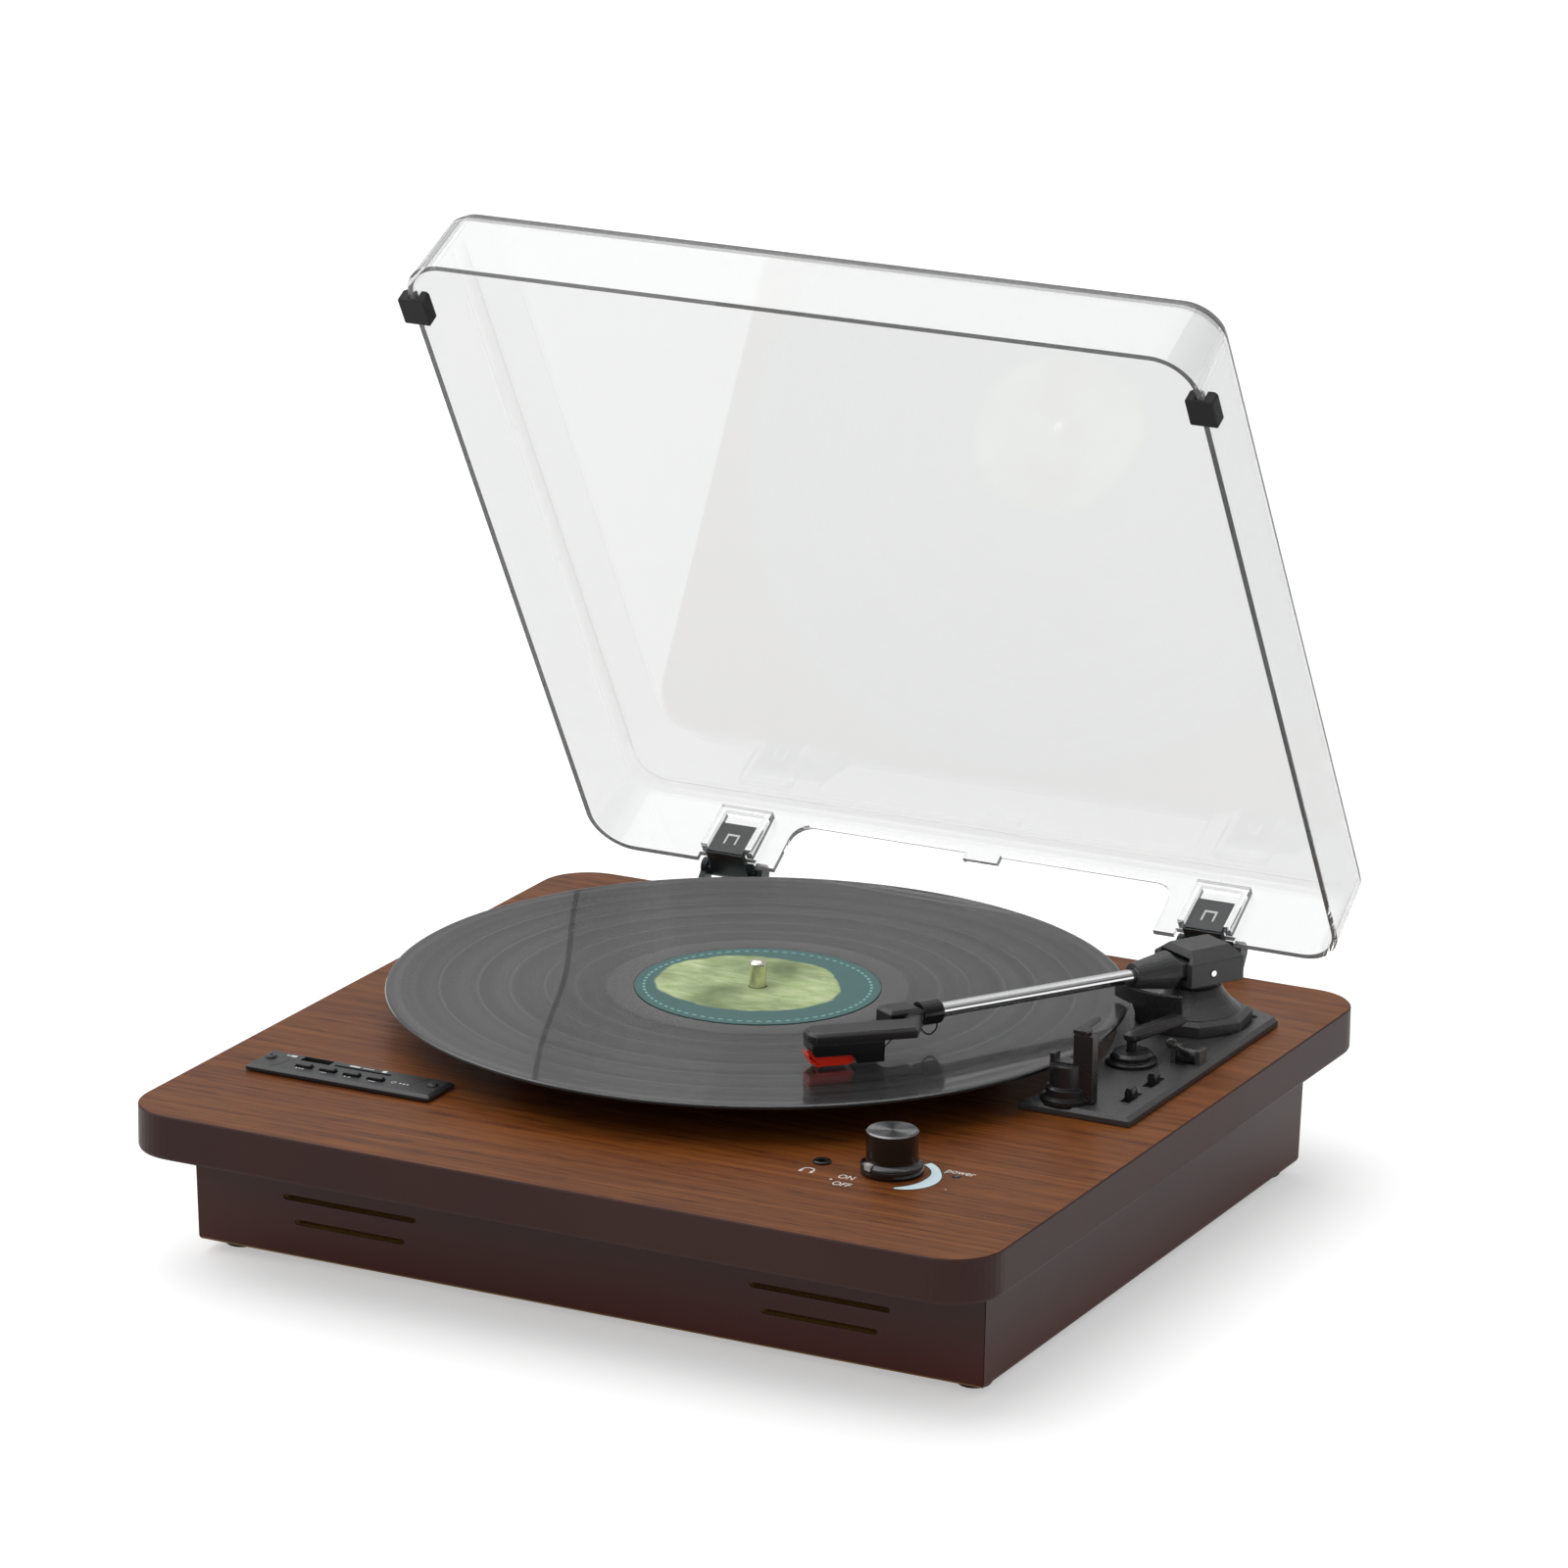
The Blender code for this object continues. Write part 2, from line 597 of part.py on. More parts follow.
def rear_sockets(root):
    z = (BASE_BOTTOM + PANEL_TOP) / 2
    face = BASE_REAR + CLEARANCE
    places = socket_places()
    plate = prism(rounded_rectangle(SOCKET_PLATE_WIDTH, SOCKET_PLATE_HEIGHT, 0.0020, SOCKET_PLATE_X, z, 3),
                  face, face + SOCKET_PLATE_THICKNESS, "Y")
    plate = piece("rear_socket_plate", plate, BLACK_PLASTIC, root)
    barrels = bmesh.new()
    inside = BASE_REAR - PANEL_THICKNESS - 0.004
    for x, radius in places[:2]:
        prism(circle(x, z, radius, 16), inside, face + PHONO_LENGTH, "Y", barrels)
    join(plate, barrels)
    bores = bmesh.new()
    for x, radius in places[:2]:
        prism(circle(x, z, radius * 0.40, 12), face - 0.002, face + PHONO_LENGTH + CUT_THROUGH, "Y", bores)
    x, radius = places[2]
    prism(circle(x, z, radius + CLEARANCE, 16), face - CUT_THROUGH, face + CUT_THROUGH, "Y", bores)
    cut(plate, bores)
    pin = 0.0010
    outline = [(0.0, -0.0100), (radius, -0.0100), (radius, 0.0030), (POWER_INLET_BORE, 0.0030),
               (POWER_INLET_BORE, -0.0070), (pin, -0.0070), (pin, 0.0015), (0.0, 0.0015)]
    piece("power_inlet", turned(outline, 16), GLOSS_BLACK, root, (x, face, z), (math.radians(-90), 0.0, 0.0))


def main_board(root):
    z = BASE_BOTTOM + BOTTOM_THICKNESS + CLEARANCE
    x, y = 0.075, BASE_REAR - PANEL_THICKNESS - 0.0080 - BOARD_DEPTH / 2
    board = piece("main_board", centred_box(x, y, BOARD_WIDTH, BOARD_DEPTH, z + STANDOFF_HEIGHT,
                                            z + STANDOFF_HEIGHT + BOARD_THICKNESS), CIRCUIT_GREEN, root)
    legs = bmesh.new()
    for sx in (-1, 1):
        for sy in (-1, 1):
            hole(legs, x + sx * (BOARD_WIDTH / 2 - 0.005), y + sy * (BOARD_DEPTH / 2 - 0.005), 0.0025,
                 z, z + STANDOFF_HEIGHT + OVERLAP, 10)
    join(board, legs, "legs")
    join(board, centred_box(x - 0.02, y, 0.012, 0.030, z + STANDOFF_HEIGHT + OVERLAP,
                            z + STANDOFF_HEIGHT + 0.014), "heat_sink")


def drive(root):
    """Spindle bearing, motor, pulley and belt under the platter."""
    flange_top = HUB_BOTTOM - 0.0020
    bore = SPINDLE_BORE
    bearing = [(bore, flange_top - CLEARANCE), (BEARING_FLANGE_RADIUS, flange_top - CLEARANCE),
               (BEARING_FLANGE_RADIUS, ON_DECK), (BEARING_RADIUS, ON_DECK),
               (BEARING_RADIUS, ON_DECK - BEARING_LENGTH), (bore, ON_DECK - BEARING_LENGTH)]
    piece("spindle_bearing", turned(bearing, 28), BRASS, root, (SPINDLE_X, SPINDLE_Y, 0.0))

    shaft = 0.0010
    flange_z = ON_DECK + MOTOR_FLANGE
    pulley_top = PLATTER_CEILING - CLEARANCE
    motor = [(0.0, pulley_top - 0.0004), (shaft, pulley_top - 0.0004), (shaft, flange_z),
             (MOTOR_FLANGE_RADIUS, flange_z), (MOTOR_FLANGE_RADIUS, ON_DECK), (MOTOR_RADIUS, ON_DECK),
             (MOTOR_RADIUS, ON_DECK - MOTOR_DEPTH + 0.0015), (MOTOR_RADIUS - 0.0015, ON_DECK - MOTOR_DEPTH),
             (0.0, ON_DECK - MOTOR_DEPTH)]
    piece("motor", turned(motor, 28), STEEL, root, (PULLEY_X, PULLEY_Y, 0.0))

    axis = empty("motor_axis", (PULLEY_X, PULLEY_Y, 0.0), root)
    low = flange_z + CLEARANCE
    lip = 0.0008
    belt_low = low + lip + CLEARANCE
    belt_high = min(belt_low + BELT_WIDTH, pulley_top - lip - CLEARANCE)
    pulley = [(shaft + CLEARANCE, low), (PULLEY_RADIUS + lip, low), (PULLEY_RADIUS, low + lip),
              (PULLEY_RADIUS, pulley_top - lip), (PULLEY_RADIUS + lip, pulley_top),
              (shaft + CLEARANCE, pulley_top)]
    piece("motor_pulley", turned(pulley, 24), BRASS, axis)

    rings = []
    for offset, z in ((CLEARANCE, belt_low), (CLEARANCE + BELT_THICKNESS, belt_low),
                      (CLEARANCE + BELT_THICKNESS, belt_high), (CLEARANCE, belt_high)):
        rings.append(at_height(belt_outline(offset), z))
    turn = math.radians(PULLEY_ANGLE)
    piece("drive_belt", loop_body(rings), RUBBER, root, (SPINDLE_X, SPINDLE_Y, 0.0), (0.0, 0.0, turn))


def belt_outline(offset):
    """Belt round the drum at the origin and the pulley on +X: two arcs and their tangents."""
    reach = math.degrees(math.acos((DRUM_RADIUS - PULLEY_RADIUS) / PULLEY_DISTANCE))
    drum = arc(0.0, 0.0, DRUM_RADIUS + offset, reach, 360.0 - reach, 40)
    pulley = arc(PULLEY_DISTANCE, 0.0, PULLEY_RADIUS + offset, -reach, reach, 8)
    return drum + pulley


def platter(axis):
    bore = SPINDLE_BORE
    r = PLATTER_RADIUS
    low = PLATTER_TOP - PLATTER_RIM_HEIGHT
    drum = PLATTER_CEILING - DRUM_HEIGHT
    outline = [(bore, PLATTER_TOP), (r - 0.0010, PLATTER_TOP), (r, PLATTER_TOP - 0.0010), (r, low),
               (r - PLATTER_WALL, low), (r - PLATTER_WALL, PLATTER_CEILING), (DRUM_RADIUS, PLATTER_CEILING),
               (DRUM_RADIUS, drum), (DRUM_RADIUS - PLATTER_WALL, drum),
               (DRUM_RADIUS - PLATTER_WALL, PLATTER_CEILING), (HUB_RADIUS, PLATTER_CEILING),
               (HUB_RADIUS, HUB_BOTTOM), (bore, HUB_BOTTOM)]
    piece("platter", turned(outline, 64), ALUMINIUM, axis)

    mat = [(bore, MAT_TOP - MAT_THICKNESS), (MAT_RADIUS, MAT_TOP - MAT_THICKNESS), (MAT_RADIUS, MAT_TOP),
           (bore, MAT_TOP)]
    piece("slip_mat", turned(mat, 64), FELT, axis)

    edge = RECORD_THICKNESS / 2
    label_floor = RECORD_TOP - LABEL_RECESS
    label_edge = LABEL_RADIUS + CLEARANCE
    record = [(bore, RECORD_UNDERSIDE), (RECORD_RADIUS - edge, RECORD_UNDERSIDE),
              (RECORD_RADIUS, RECORD_UNDERSIDE + edge), (RECORD_RADIUS - edge, RECORD_TOP),
              (label_edge, RECORD_TOP), (label_edge, label_floor), (bore, label_floor)]
    piece("record_disc", turned(record, 80), VINYL, axis)

    low = label_floor + CLEARANCE
    label = [(bore, low), (LABEL_RADIUS, low), (LABEL_RADIUS, low + LABEL_THICKNESS),
             (bore, low + LABEL_THICKNESS)]
    piece("record_label", turned(label, 48), PAPER_LABEL, axis)

    top = RECORD_TOP + SPINDLE_ABOVE_RECORD
    r = SPINDLE_RADIUS
    shoulder = HUB_BOTTOM - CLEARANCE
    dome = [(r * math.sin(math.radians(a)), top - r * 0.55 * (1 - math.cos(math.radians(a))))
            for a in (0, 25, 50, 75, 90)]
    dome[0] = (0.0, top)
    bottom_end = ON_DECK - BEARING_LENGTH - 0.0010
    spindle = dome + [(r, shoulder), (HUB_RADIUS - 0.0020, shoulder),
                      (HUB_RADIUS - 0.0020, HUB_BOTTOM - 0.0020),
                      (r, HUB_BOTTOM - 0.0020), (r, bottom_end), (0.0, bottom_end)]
    piece("spindle", turned(spindle, 24), CHROME, axis)


def rest_place():
    """Middle of the cradle that holds the parked arm, in the plinth's frame."""
    return arc(ARM_X, ARM_Y, REST_DISTANCE, ARM_HEADING + REST_SWING, ARM_HEADING + REST_SWING, 1)[0]


def plate_recesses():
    """Cutters for the sunk floor of the tonearm plate and for the gaps in its border."""
    low, high = PLATE_FLOOR, PLATE_TOP + CUT_THROUGH
    right, rear = PLATE_RIGHT - PLATE_SIDE_BORDER, PLATE_REAR - PLATE_SIDE_BORDER
    front, left = PLATE_FRONT + PLATE_FRONT_BORDER, PLATE_LEFT - 0.0100
    corner = PLATE_SIDE_BORDER * 0.5
    floor = [(left, front), (right, front), (right, PLATE_REAR - PLATE_CORNER_DEPTH - corner),
             (PLATE_RIGHT - PLATE_CORNER_WIDTH - corner, rear), (left, rear)]
    rest_x, rest_y = rest_place()
    post_end = TUBE_RADIUS + REST_POST_WIDTH + 4 * CLEARANCE
    lever_room = CUE_DRUM_HALF_WIDTH + CLEARANCE
    return (prism(floor, low, high),
            prism(circle(rest_x, rest_y, REST_FOOT_RADIUS + 2 * CLEARANCE), low, high),
            prism(circle(ARM_X, ARM_Y, PEDESTAL_RADIUS + 2 * CLEARANCE, 48), low, high),
            centred_box(rest_x + post_end / 2, rest_y, post_end, REST_DEPTH + 4 * CLEARANCE, low, high),
            centred_box(CUE_X, CUE_Y, 2 * lever_room, 2 * (CUE_DRUM_RADIUS + CLEARANCE), low, high))


def tonearm_plate(root):
    radius = PLATE_HOLLOW_RADIUS
    front_angle = math.degrees(math.asin((PLATE_FRONT - SPINDLE_Y) / radius))
    rear_angle = math.degrees(math.acos((PLATE_LEFT - SPINDLE_X) / radius))
    outline = [(PLATE_RIGHT, PLATE_FRONT), (PLATE_RIGHT, PLATE_REAR - PLATE_CORNER_DEPTH),
               (PLATE_RIGHT - PLATE_CORNER_WIDTH, PLATE_REAR), (PLATE_LEFT, PLATE_REAR)]
    outline += arc(SPINDLE_X, SPINDLE_Y, radius, rear_angle, front_angle, 12)
    plate = piece("tonearm_base", loft([
        at_height(outline, ON_DECK), at_height(outline, PLATE_TOP - PLATE_BEVEL),
        at_height(inset(outline, PLATE_BEVEL), PLATE_TOP)]), BLACK_PLASTIC, root)
    for k, recess in enumerate(plate_recesses()):
        cut(plate, recess, f"recess{k}")
    ears = bmesh.new()
    ear = 0.0020
    for side in (-1, 1):
        x = CUE_X + side * (CUE_DRUM_HALF_WIDTH + CLEARANCE + ear / 2)
        centred_box(x, CUE_Y, ear, 0.0070, PLATE_FLOOR - OVERLAP, ON_PLATE + 2 * CUE_DRUM_RADIUS + 0.0004,
                    ears)
    join(plate, ears, "lever_ears")
    holes = bmesh.new()
    low = ON_DECK - CUT_THROUGH
    high = PLATE_TOP + CUT_THROUGH
    hole(holes, ARM_X, ARM_Y, STUD_RADIUS + CLEARANCE, low, high)
    slot_floor = PLATE_FLOOR - SWITCH_SLOT_DEPTH
    for y in (SPEED_SWITCH_Y, STOP_SWITCH_Y):
        length = 2 * SWITCH_TRAVEL + SWITCH_LENGTH + 2 * CLEARANCE
        centred_box(SWITCH_X, y, 0.0042, length, slot_floor, high, holes)
    cut(plate, holes)

    half = 0.0018
    switch = ((-half, 0.0), (half, 0.0), (half, 0.0038), (0.0010, 0.0055), (-0.0010, 0.0055),
              (-half, 0.0038))
    for name, y in (("speed_switch", SPEED_SWITCH_Y), ("auto_stop_switch", STOP_SWITCH_Y)):
        lever = prism(switch, -SWITCH_LENGTH / 2, SWITCH_LENGTH / 2, "Y")
        piece(name, lever, BLACK_PLASTIC, root, (SWITCH_X, y, slot_floor + CLEARANCE))


def pedestal(root):
    """Octagonal flange, flared cone and the stud that clamps it through the board."""
    def ring(radius, z, eight_sided=False):
        points = []
        for k in range(32):
            angle = 2 * math.pi * k / 32
            side = (angle + math.pi / 8) % (math.pi / 4) - math.pi / 8
            reach = radius / math.cos(side) * math.cos(math.pi / 8) if eight_sided else radius
            points.append((reach * math.cos(angle + 0.12), reach * math.sin(angle + 0.12), z))
        return points

    flange = ON_PLATE + PEDESTAL_FLANGE
    neck_top = ARM_Z - HOUSING_BELOW_AXIS - CLEARANCE
    cone_top = neck_top - 0.0025
    cone_radius = PEDESTAL_RADIUS * 0.80
    rings = [ring(PEDESTAL_RADIUS, ON_PLATE, True), ring(PEDESTAL_RADIUS, flange - 0.0016, True),
             ring(PEDESTAL_RADIUS - 0.0022, flange, True), ring(cone_radius, flange)]
    for share in (0.35, 0.7, 1.0):
        radius = PEDESTAL_TOP_RADIUS + (cone_radius - PEDESTAL_TOP_RADIUS) * (1 - share) ** 1.35
        rings.append(ring(radius, flange + (cone_top - flange) * share))
    rings += [ring(PEDESTAL_TOP_RADIUS - 0.0028, cone_top), ring(PEDESTAL_TOP_RADIUS - 0.0028, neck_top)]
    body = piece("pedestal", loft(rings), BLACK_PLASTIC, root, (ARM_X, ARM_Y, 0.0))
    join(body, prism(circle(0.0, 0.0, STUD_RADIUS), DECK_UNDERSIDE - 0.003, ON_PLATE + OVERLAP), "stud")
    cut(body, prism(circle(0.0, 0.0, 0.0035, 16), neck_top - 0.012, neck_top + CUT_THROUGH), "bearing_bore")


def pivot_housing(swing):
    """Faceted housing that turns on the pedestal, open along the arm for the pitching block."""
    front, back, half = HOUSING_FRONT, -HOUSING_BACK, HOUSING_HALF_WIDTH
    low, high = -HOUSING_BELOW_AXIS, HOUSING_ABOVE_AXIS
    shoulder = high * 0.52
    cheek = ((back, -half), (front, -half), (front, half), (back, half))
    top = ((back + 0.0035, -half + 0.0055), (front - 0.0035, -half + 0.0055),
           (front - 0.0035, half - 0.0055), (back + 0.0035, half - 0.0055))
    body = piece("pivot_housing", loft([at_height(cheek, low), at_height(cheek, shoulder),
                                        at_height(top, high)]),
                 BLACK_PLASTIC, swing)
    inner = half - HOUSING_CHEEK
    cut(body, box((back - CUT_THROUGH, -inner, low + 0.0022), (front + CUT_THROUGH, inner, high - 0.0028)),
        "tunnel")
    cut(body, prism(circle(0.0, 0.0, PIVOT_PIN_RADIUS + CLEARANCE, 12), -half - CUT_THROUGH,
                    half + CUT_THROUGH, "Y"),
        "pin_bore")
    join(body, prism(circle(0.0, 0.0, 0.0035 - CLEARANCE, 12), low - 0.0100, low + OVERLAP), "bearing_pin")
    pin = prism(circle(0.0, 0.0, PIVOT_PIN_RADIUS, 12), -half - CLEARANCE, half + CLEARANCE, "Y")
    piece("pivot_pin", pin, CHROME, swing)


def along_arm(profile, segments):
    """Turned body whose axis is the arm's X, from (radius, distance from the pivot)."""
    bm = turned(profile, segments)
    bmesh.ops.transform(bm, matrix=Matrix.Rotation(math.radians(90), 4, "Y"), verts=bm.verts)
    return bm


def arm_sleeve(pitch):
    """Tapered sleeve, merging into the block that the cross pin runs through."""
    inner = HOUSING_HALF_WIDTH - HOUSING_CHEEK - 0.0012
    block_low, block_high = -0.0018, 0.0044

    def rectangle(x, half_width, low, high):
        points = []
        for y, z in rounded_rectangle(2 * half_width, high - low, 0.0012, 0.0, (low + high) / 2):
            points.append((x, y, z))
        return points

    def round_ring(x, radius):
        return [(x, radius * math.cos(a), radius * math.sin(a))
                for a in (math.pi * (k + 0.5) / 14 for k in range(28))]

    body = loft([rectangle(-0.0100, inner, block_low, block_high),
                 rectangle(HOUSING_FRONT + 0.0012, inner, block_low, block_high),
                 round_ring(HOUSING_FRONT + 0.0030, SLEEVE_BACK_RADIUS),
                 round_ring(SLEEVE_FRONT - 0.0020, SLEEVE_FRONT_RADIUS + 0.0004),
                 round_ring(SLEEVE_FRONT, SLEEVE_FRONT_RADIUS)])
    body = piece("arm_sleeve", body, BLACK_PLASTIC, pitch)
    bore = bmesh.new()
    prism(circle(0.0, 0.0, TUBE_RADIUS + CLEARANCE, 16), SLEEVE_FRONT - 0.0080, SLEEVE_FRONT + CUT_THROUGH,
          "X", bore)
    prism(circle(0.0, 0.0, PIVOT_PIN_RADIUS + CLEARANCE, 12), -inner - CUT_THROUGH, inner + CUT_THROUGH,
          "Y", bore)
    cut(body, bore, "bores")


def arm_tube(pitch):
    back, front = SLEEVE_FRONT - 0.0076, COLLAR_FRONT - 0.0010
    tube = [(TUBE_BORE, back), (TUBE_RADIUS, back), (TUBE_RADIUS, front), (TUBE_BORE, front)]
    piece("tonearm_tube", along_arm(tube, 24), CHROME, pitch)
    bore = TUBE_RADIUS + CLEARANCE
    collar = [(bore, COLLAR_BACK), (COLLAR_RADIUS - 0.0006, COLLAR_BACK),
              (COLLAR_RADIUS, COLLAR_BACK + 0.0008),
              (COLLAR_RADIUS, COLLAR_FRONT), (bore, COLLAR_FRONT)]
    piece("headshell_collar", along_arm(collar, 24), GLOSS_BLACK, pitch)


def shell_point(forward, outward, z=None):
    """A point given from the stylus along and across the headshell, in the arm's frame."""
    turn = math.radians(HEADSHELL_ANGLE)
    x = ARM_REACH + forward * math.cos(turn) - outward * math.sin(turn)
    y = STYLUS_OFFSET + forward * math.sin(turn) + outward * math.cos(turn)
    return (x, y) if z is None else (x, y, z)


def headshell(pitch):
    half = SHELL_HALF_WIDTH
    back = COLLAR_FRONT + CLEARANCE
    outline = [(back, -0.0048), shell_point(-0.0385, -half), shell_point(0.0020, -half),
               shell_point(0.0043, -half * 0.55), shell_point(0.0043, half * 0.55),
               shell_point(0.0020, half),
               shell_point(-0.0395, half), (back, 0.0048)]
    top = inset(outline, 0.0014)
    body = piece("headshell", loft([at_height(outline, SHELL_UNDERSIDE),
                                    at_height(outline, SHELL_TOP - 0.0012),
                                    at_height(top, SHELL_TOP)]), BLACK_PLASTIC, pitch)
    neck = [(back, -0.0075), (back + 0.0130, -0.0090), (back + 0.0150, -0.0072), (back + 0.0150, 0.0030),
            (back, 0.0042)]
    join(body, loft([at_height(neck, SHELL_UNDERSIDE - 0.0008), at_height(neck, SHELL_TOP + 0.0006),
                     at_height(inset(neck, 0.0014), SHELL_TOP + 0.0018)]), "neck")


def side_profile(points, half_width):
    """Prism with a side outline of (forward, height) points, as wide as the headshell piece."""
    return loft([[shell_point(forward, outward, z) for forward, z in points] for outward in (-half_width,
                                                                                             half_width)])


def cartridge(pitch):
    top = SHELL_UNDERSIDE - CLEARANCE
    step = GUARD_TOP + CLEARANCE
    body = [(-0.0265, top), (-0.0265, CARTRIDGE_UNDERSIDE), (-0.0152, CARTRIDGE_UNDERSIDE), (-0.0138, step),
            (0.0020, step), (0.0034, step + 0.0018), (0.0034, top)]
    piece("cartridge", side_profile(body, CARTRIDGE_HALF_WIDTH), GLOSS_BLACK, pitch)
    stylus = -stylus_drop()
    guard = [(-0.0134, GUARD_TOP), (-0.0148, GUARD_UNDERSIDE + 0.0010), (-0.0120, GUARD_UNDERSIDE),
             (-0.0006, GUARD_UNDERSIDE), (0.0, stylus), (0.0006, GUARD_UNDERSIDE),
             (0.0034, GUARD_UNDERSIDE + 0.0016),
             (0.0043, GUARD_TOP + 0.0012), (0.0043, GUARD_TOP)]
    piece("stylus_guard", side_profile(guard, GUARD_HALF_WIDTH), RED_PLASTIC, pitch)


def stylus_drop():
    """Stylus tip below the arm's axis, so that it stands just clear of the record."""
    rise = ARM_REACH * math.sin(math.radians(ARM_TILT))
    return ARM_Z + rise - RECORD_TOP - CLEARANCE


def tube_bottom(distance):
    """Height of the underside of the tube at a distance from the pivot."""
    return ARM_Z + distance * math.sin(math.radians(ARM_TILT)) - TUBE_RADIUS


def arm_rest(root):
    x, y = rest_place()
    post = x + TUBE_RADIUS + 2 * CLEARANCE
    lip_inner = x - TUBE_RADIUS - REST_SIDE_ROOM
    lip = lip_inner - REST_LIP_WIDTH
    step_top = DECK_TOP + REST_STEP_TOP
    lip_top = min(DECK_TOP + REST_LIP_TOP, tube_bottom(REST_DISTANCE) - 0.0010)
    post_top = DECK_TOP + REST_POST_TOP
    outline = [(lip, ON_PLATE), (post + REST_POST_WIDTH, ON_PLATE), (post + REST_POST_WIDTH, post_top),
               (post, post_top), (post, step_top), (lip_inner, step_top), (lip_inner, lip_top),
               (lip, lip_top)]
    body = piece("arm_rest_post", prism(outline, y - REST_DEPTH / 2, y + REST_DEPTH / 2, "Y"),
                 BLACK_PLASTIC, root)
    heights = (OVERLAP, 0.0024, 0.0030, 0.0062, 0.0068, step_top - ON_PLATE - 0.0010)
    radii = (REST_FOOT_RADIUS, REST_FOOT_RADIUS, REST_RING_RADIUS, REST_RING_RADIUS, REST_BODY_RADIUS,
             REST_BODY_RADIUS)
    join(body, loft([at_height(circle(x, y, r), ON_PLATE + h) for r, h in zip(radii, heights)]),
         "stepped_foot")
    pivot_x = post + CLIP_HALF_WIDTH + CLEARANCE
    low = post_top + CLEARANCE
    cut(body, prism(circle(pivot_x + 0.0012, y, 0.0010 + CLEARANCE, 10), post_top - 0.0050,
                    post_top + CUT_THROUGH),
        "clip_bore")
    axis = empty("clip_axis", (pivot_x + 0.0012, y, low), root)
    bar = [(-0.0030, -0.0026), (0.0030, -0.0026), (0.0030, 0.0026), (0.0, 0.0040), (0.0, CLIP_LENGTH),
           (-0.0024, CLIP_LENGTH), (-0.0024, 0.0026), (-0.0030, 0.0020)]
    clip = piece("arm_rest_clip", prism(bar, 0.0, CLIP_THICKNESS), BLACK_PLASTIC, axis)
    join(clip, prism(circle(0.0, 0.0, 0.0010, 10), -0.0045, OVERLAP), "pivot")


def cue_lift(root):
    """Lever, damper and the curved blade that stands under the tube."""
    drum_z = ON_PLATE + CUE_DRUM_RADIUS
    axis = empty("cue_axis", (CUE_X, CUE_Y, drum_z), root)
    drum = prism(circle(0.0, 0.0, CUE_DRUM_RADIUS, 16), -CUE_DRUM_HALF_WIDTH, CUE_DRUM_HALF_WIDTH, "X")
    lever = piece("cue_lever", drum, BLACK_PLASTIC, axis)
    ball = 0.0023
    rod = [(0.0, 0.0), (0.0016, 0.0), (0.0012, CUE_LENGTH - 2 * ball),
           (ball * 0.85, CUE_LENGTH - 1.5 * ball),
           (ball, CUE_LENGTH - ball), (ball * 0.8, CUE_LENGTH - 0.4 * ball), (ball * 0.4, CUE_LENGTH),
           (0.0, CUE_LENGTH)]
    bm = turned(rod, 12)
    lean = Matrix.Rotation(math.radians(90.0 - CUE_SLANT), 4, "X")
    bmesh.ops.transform(bm, matrix=lean, verts=bm.verts)
    join(lever, bm, "rod")

    top = tube_bottom(LIFT_RADIUS) - 0.0004
    start, middle, end = ARM_HEADING - 12.0, ARM_HEADING + 11.0, ARM_HEADING + 46.0

    sections = []
    for k in range(15):
        angle = start + (end - start) * k / 14
        low = RECORD_TOP + LIFT_OVER_RECORD if angle < middle else top - LIFT_BLADE_HEIGHT
        near = arc(ARM_X, ARM_Y, LIFT_RADIUS, angle, angle, 1)[0]
        far = arc(ARM_X, ARM_Y, LIFT_RADIUS + LIFT_BLADE, angle, angle, 1)[0]
        sections.append([(*near, low), (*far, low), (*far, top), (*near, top)])
    blade = piece("cue_lift_blade", loft(sections), BLACK_PLASTIC, root)
    bar_low = top - LIFT_BLADE_HEIGHT - 0.0010
    bar_high = bar_low + LIFT_BAR_HEIGHT
    tip = Vector(arc(ARM_X, ARM_Y, LIFT_RADIUS + LIFT_BLADE / 2, end - 3.0, end, 1)[0])
    foot = Vector((DAMPER_X, DAMPER_Y))
    w = LIFT_BAR_HALF_WIDTH
    heading = math.degrees(math.atan2(tip.y - foot.y, tip.x - foot.x))
    bar = arc(*tip, w, heading - 90.0, heading + 90.0, 8) + arc(*foot, w, heading + 90.0, heading + 270.0, 8)
    join(blade, loft([at_height(inset(bar, w * 0.4), bar_low), at_height(bar, bar_low + w * 0.4),
                      at_height(bar, bar_high - w * 0.5), at_height(inset(bar, w * 0.5), bar_high)]), "bar")
    plunger_low = ON_PLATE + 0.0015
    join(blade, prism(circle(*foot, PLUNGER_RADIUS, 12), plunger_low, bar_low + OVERLAP), "plunger")
    r, bore = DAMPER_RADIUS, PLUNGER_RADIUS + CLEARANCE
    high = min(ON_PLATE + DAMPER_HEIGHT, bar_low - CLEARANCE)
    step = r - 0.0018
    damper = [(0.0, ON_PLATE), (r, ON_PLATE), (r, ON_PLATE + 0.0012), (step, ON_PLATE + 0.0018),
              (step, high - 0.0012),
              (step - 0.0012, high), (bore, high), (bore, ON_PLATE + 0.0010), (0.0, ON_PLATE + 0.0010)]
    piece("lift_damper", turned(damper, 36), BLACK_PLASTIC, root, (DAMPER_X, DAMPER_Y, 0.0))


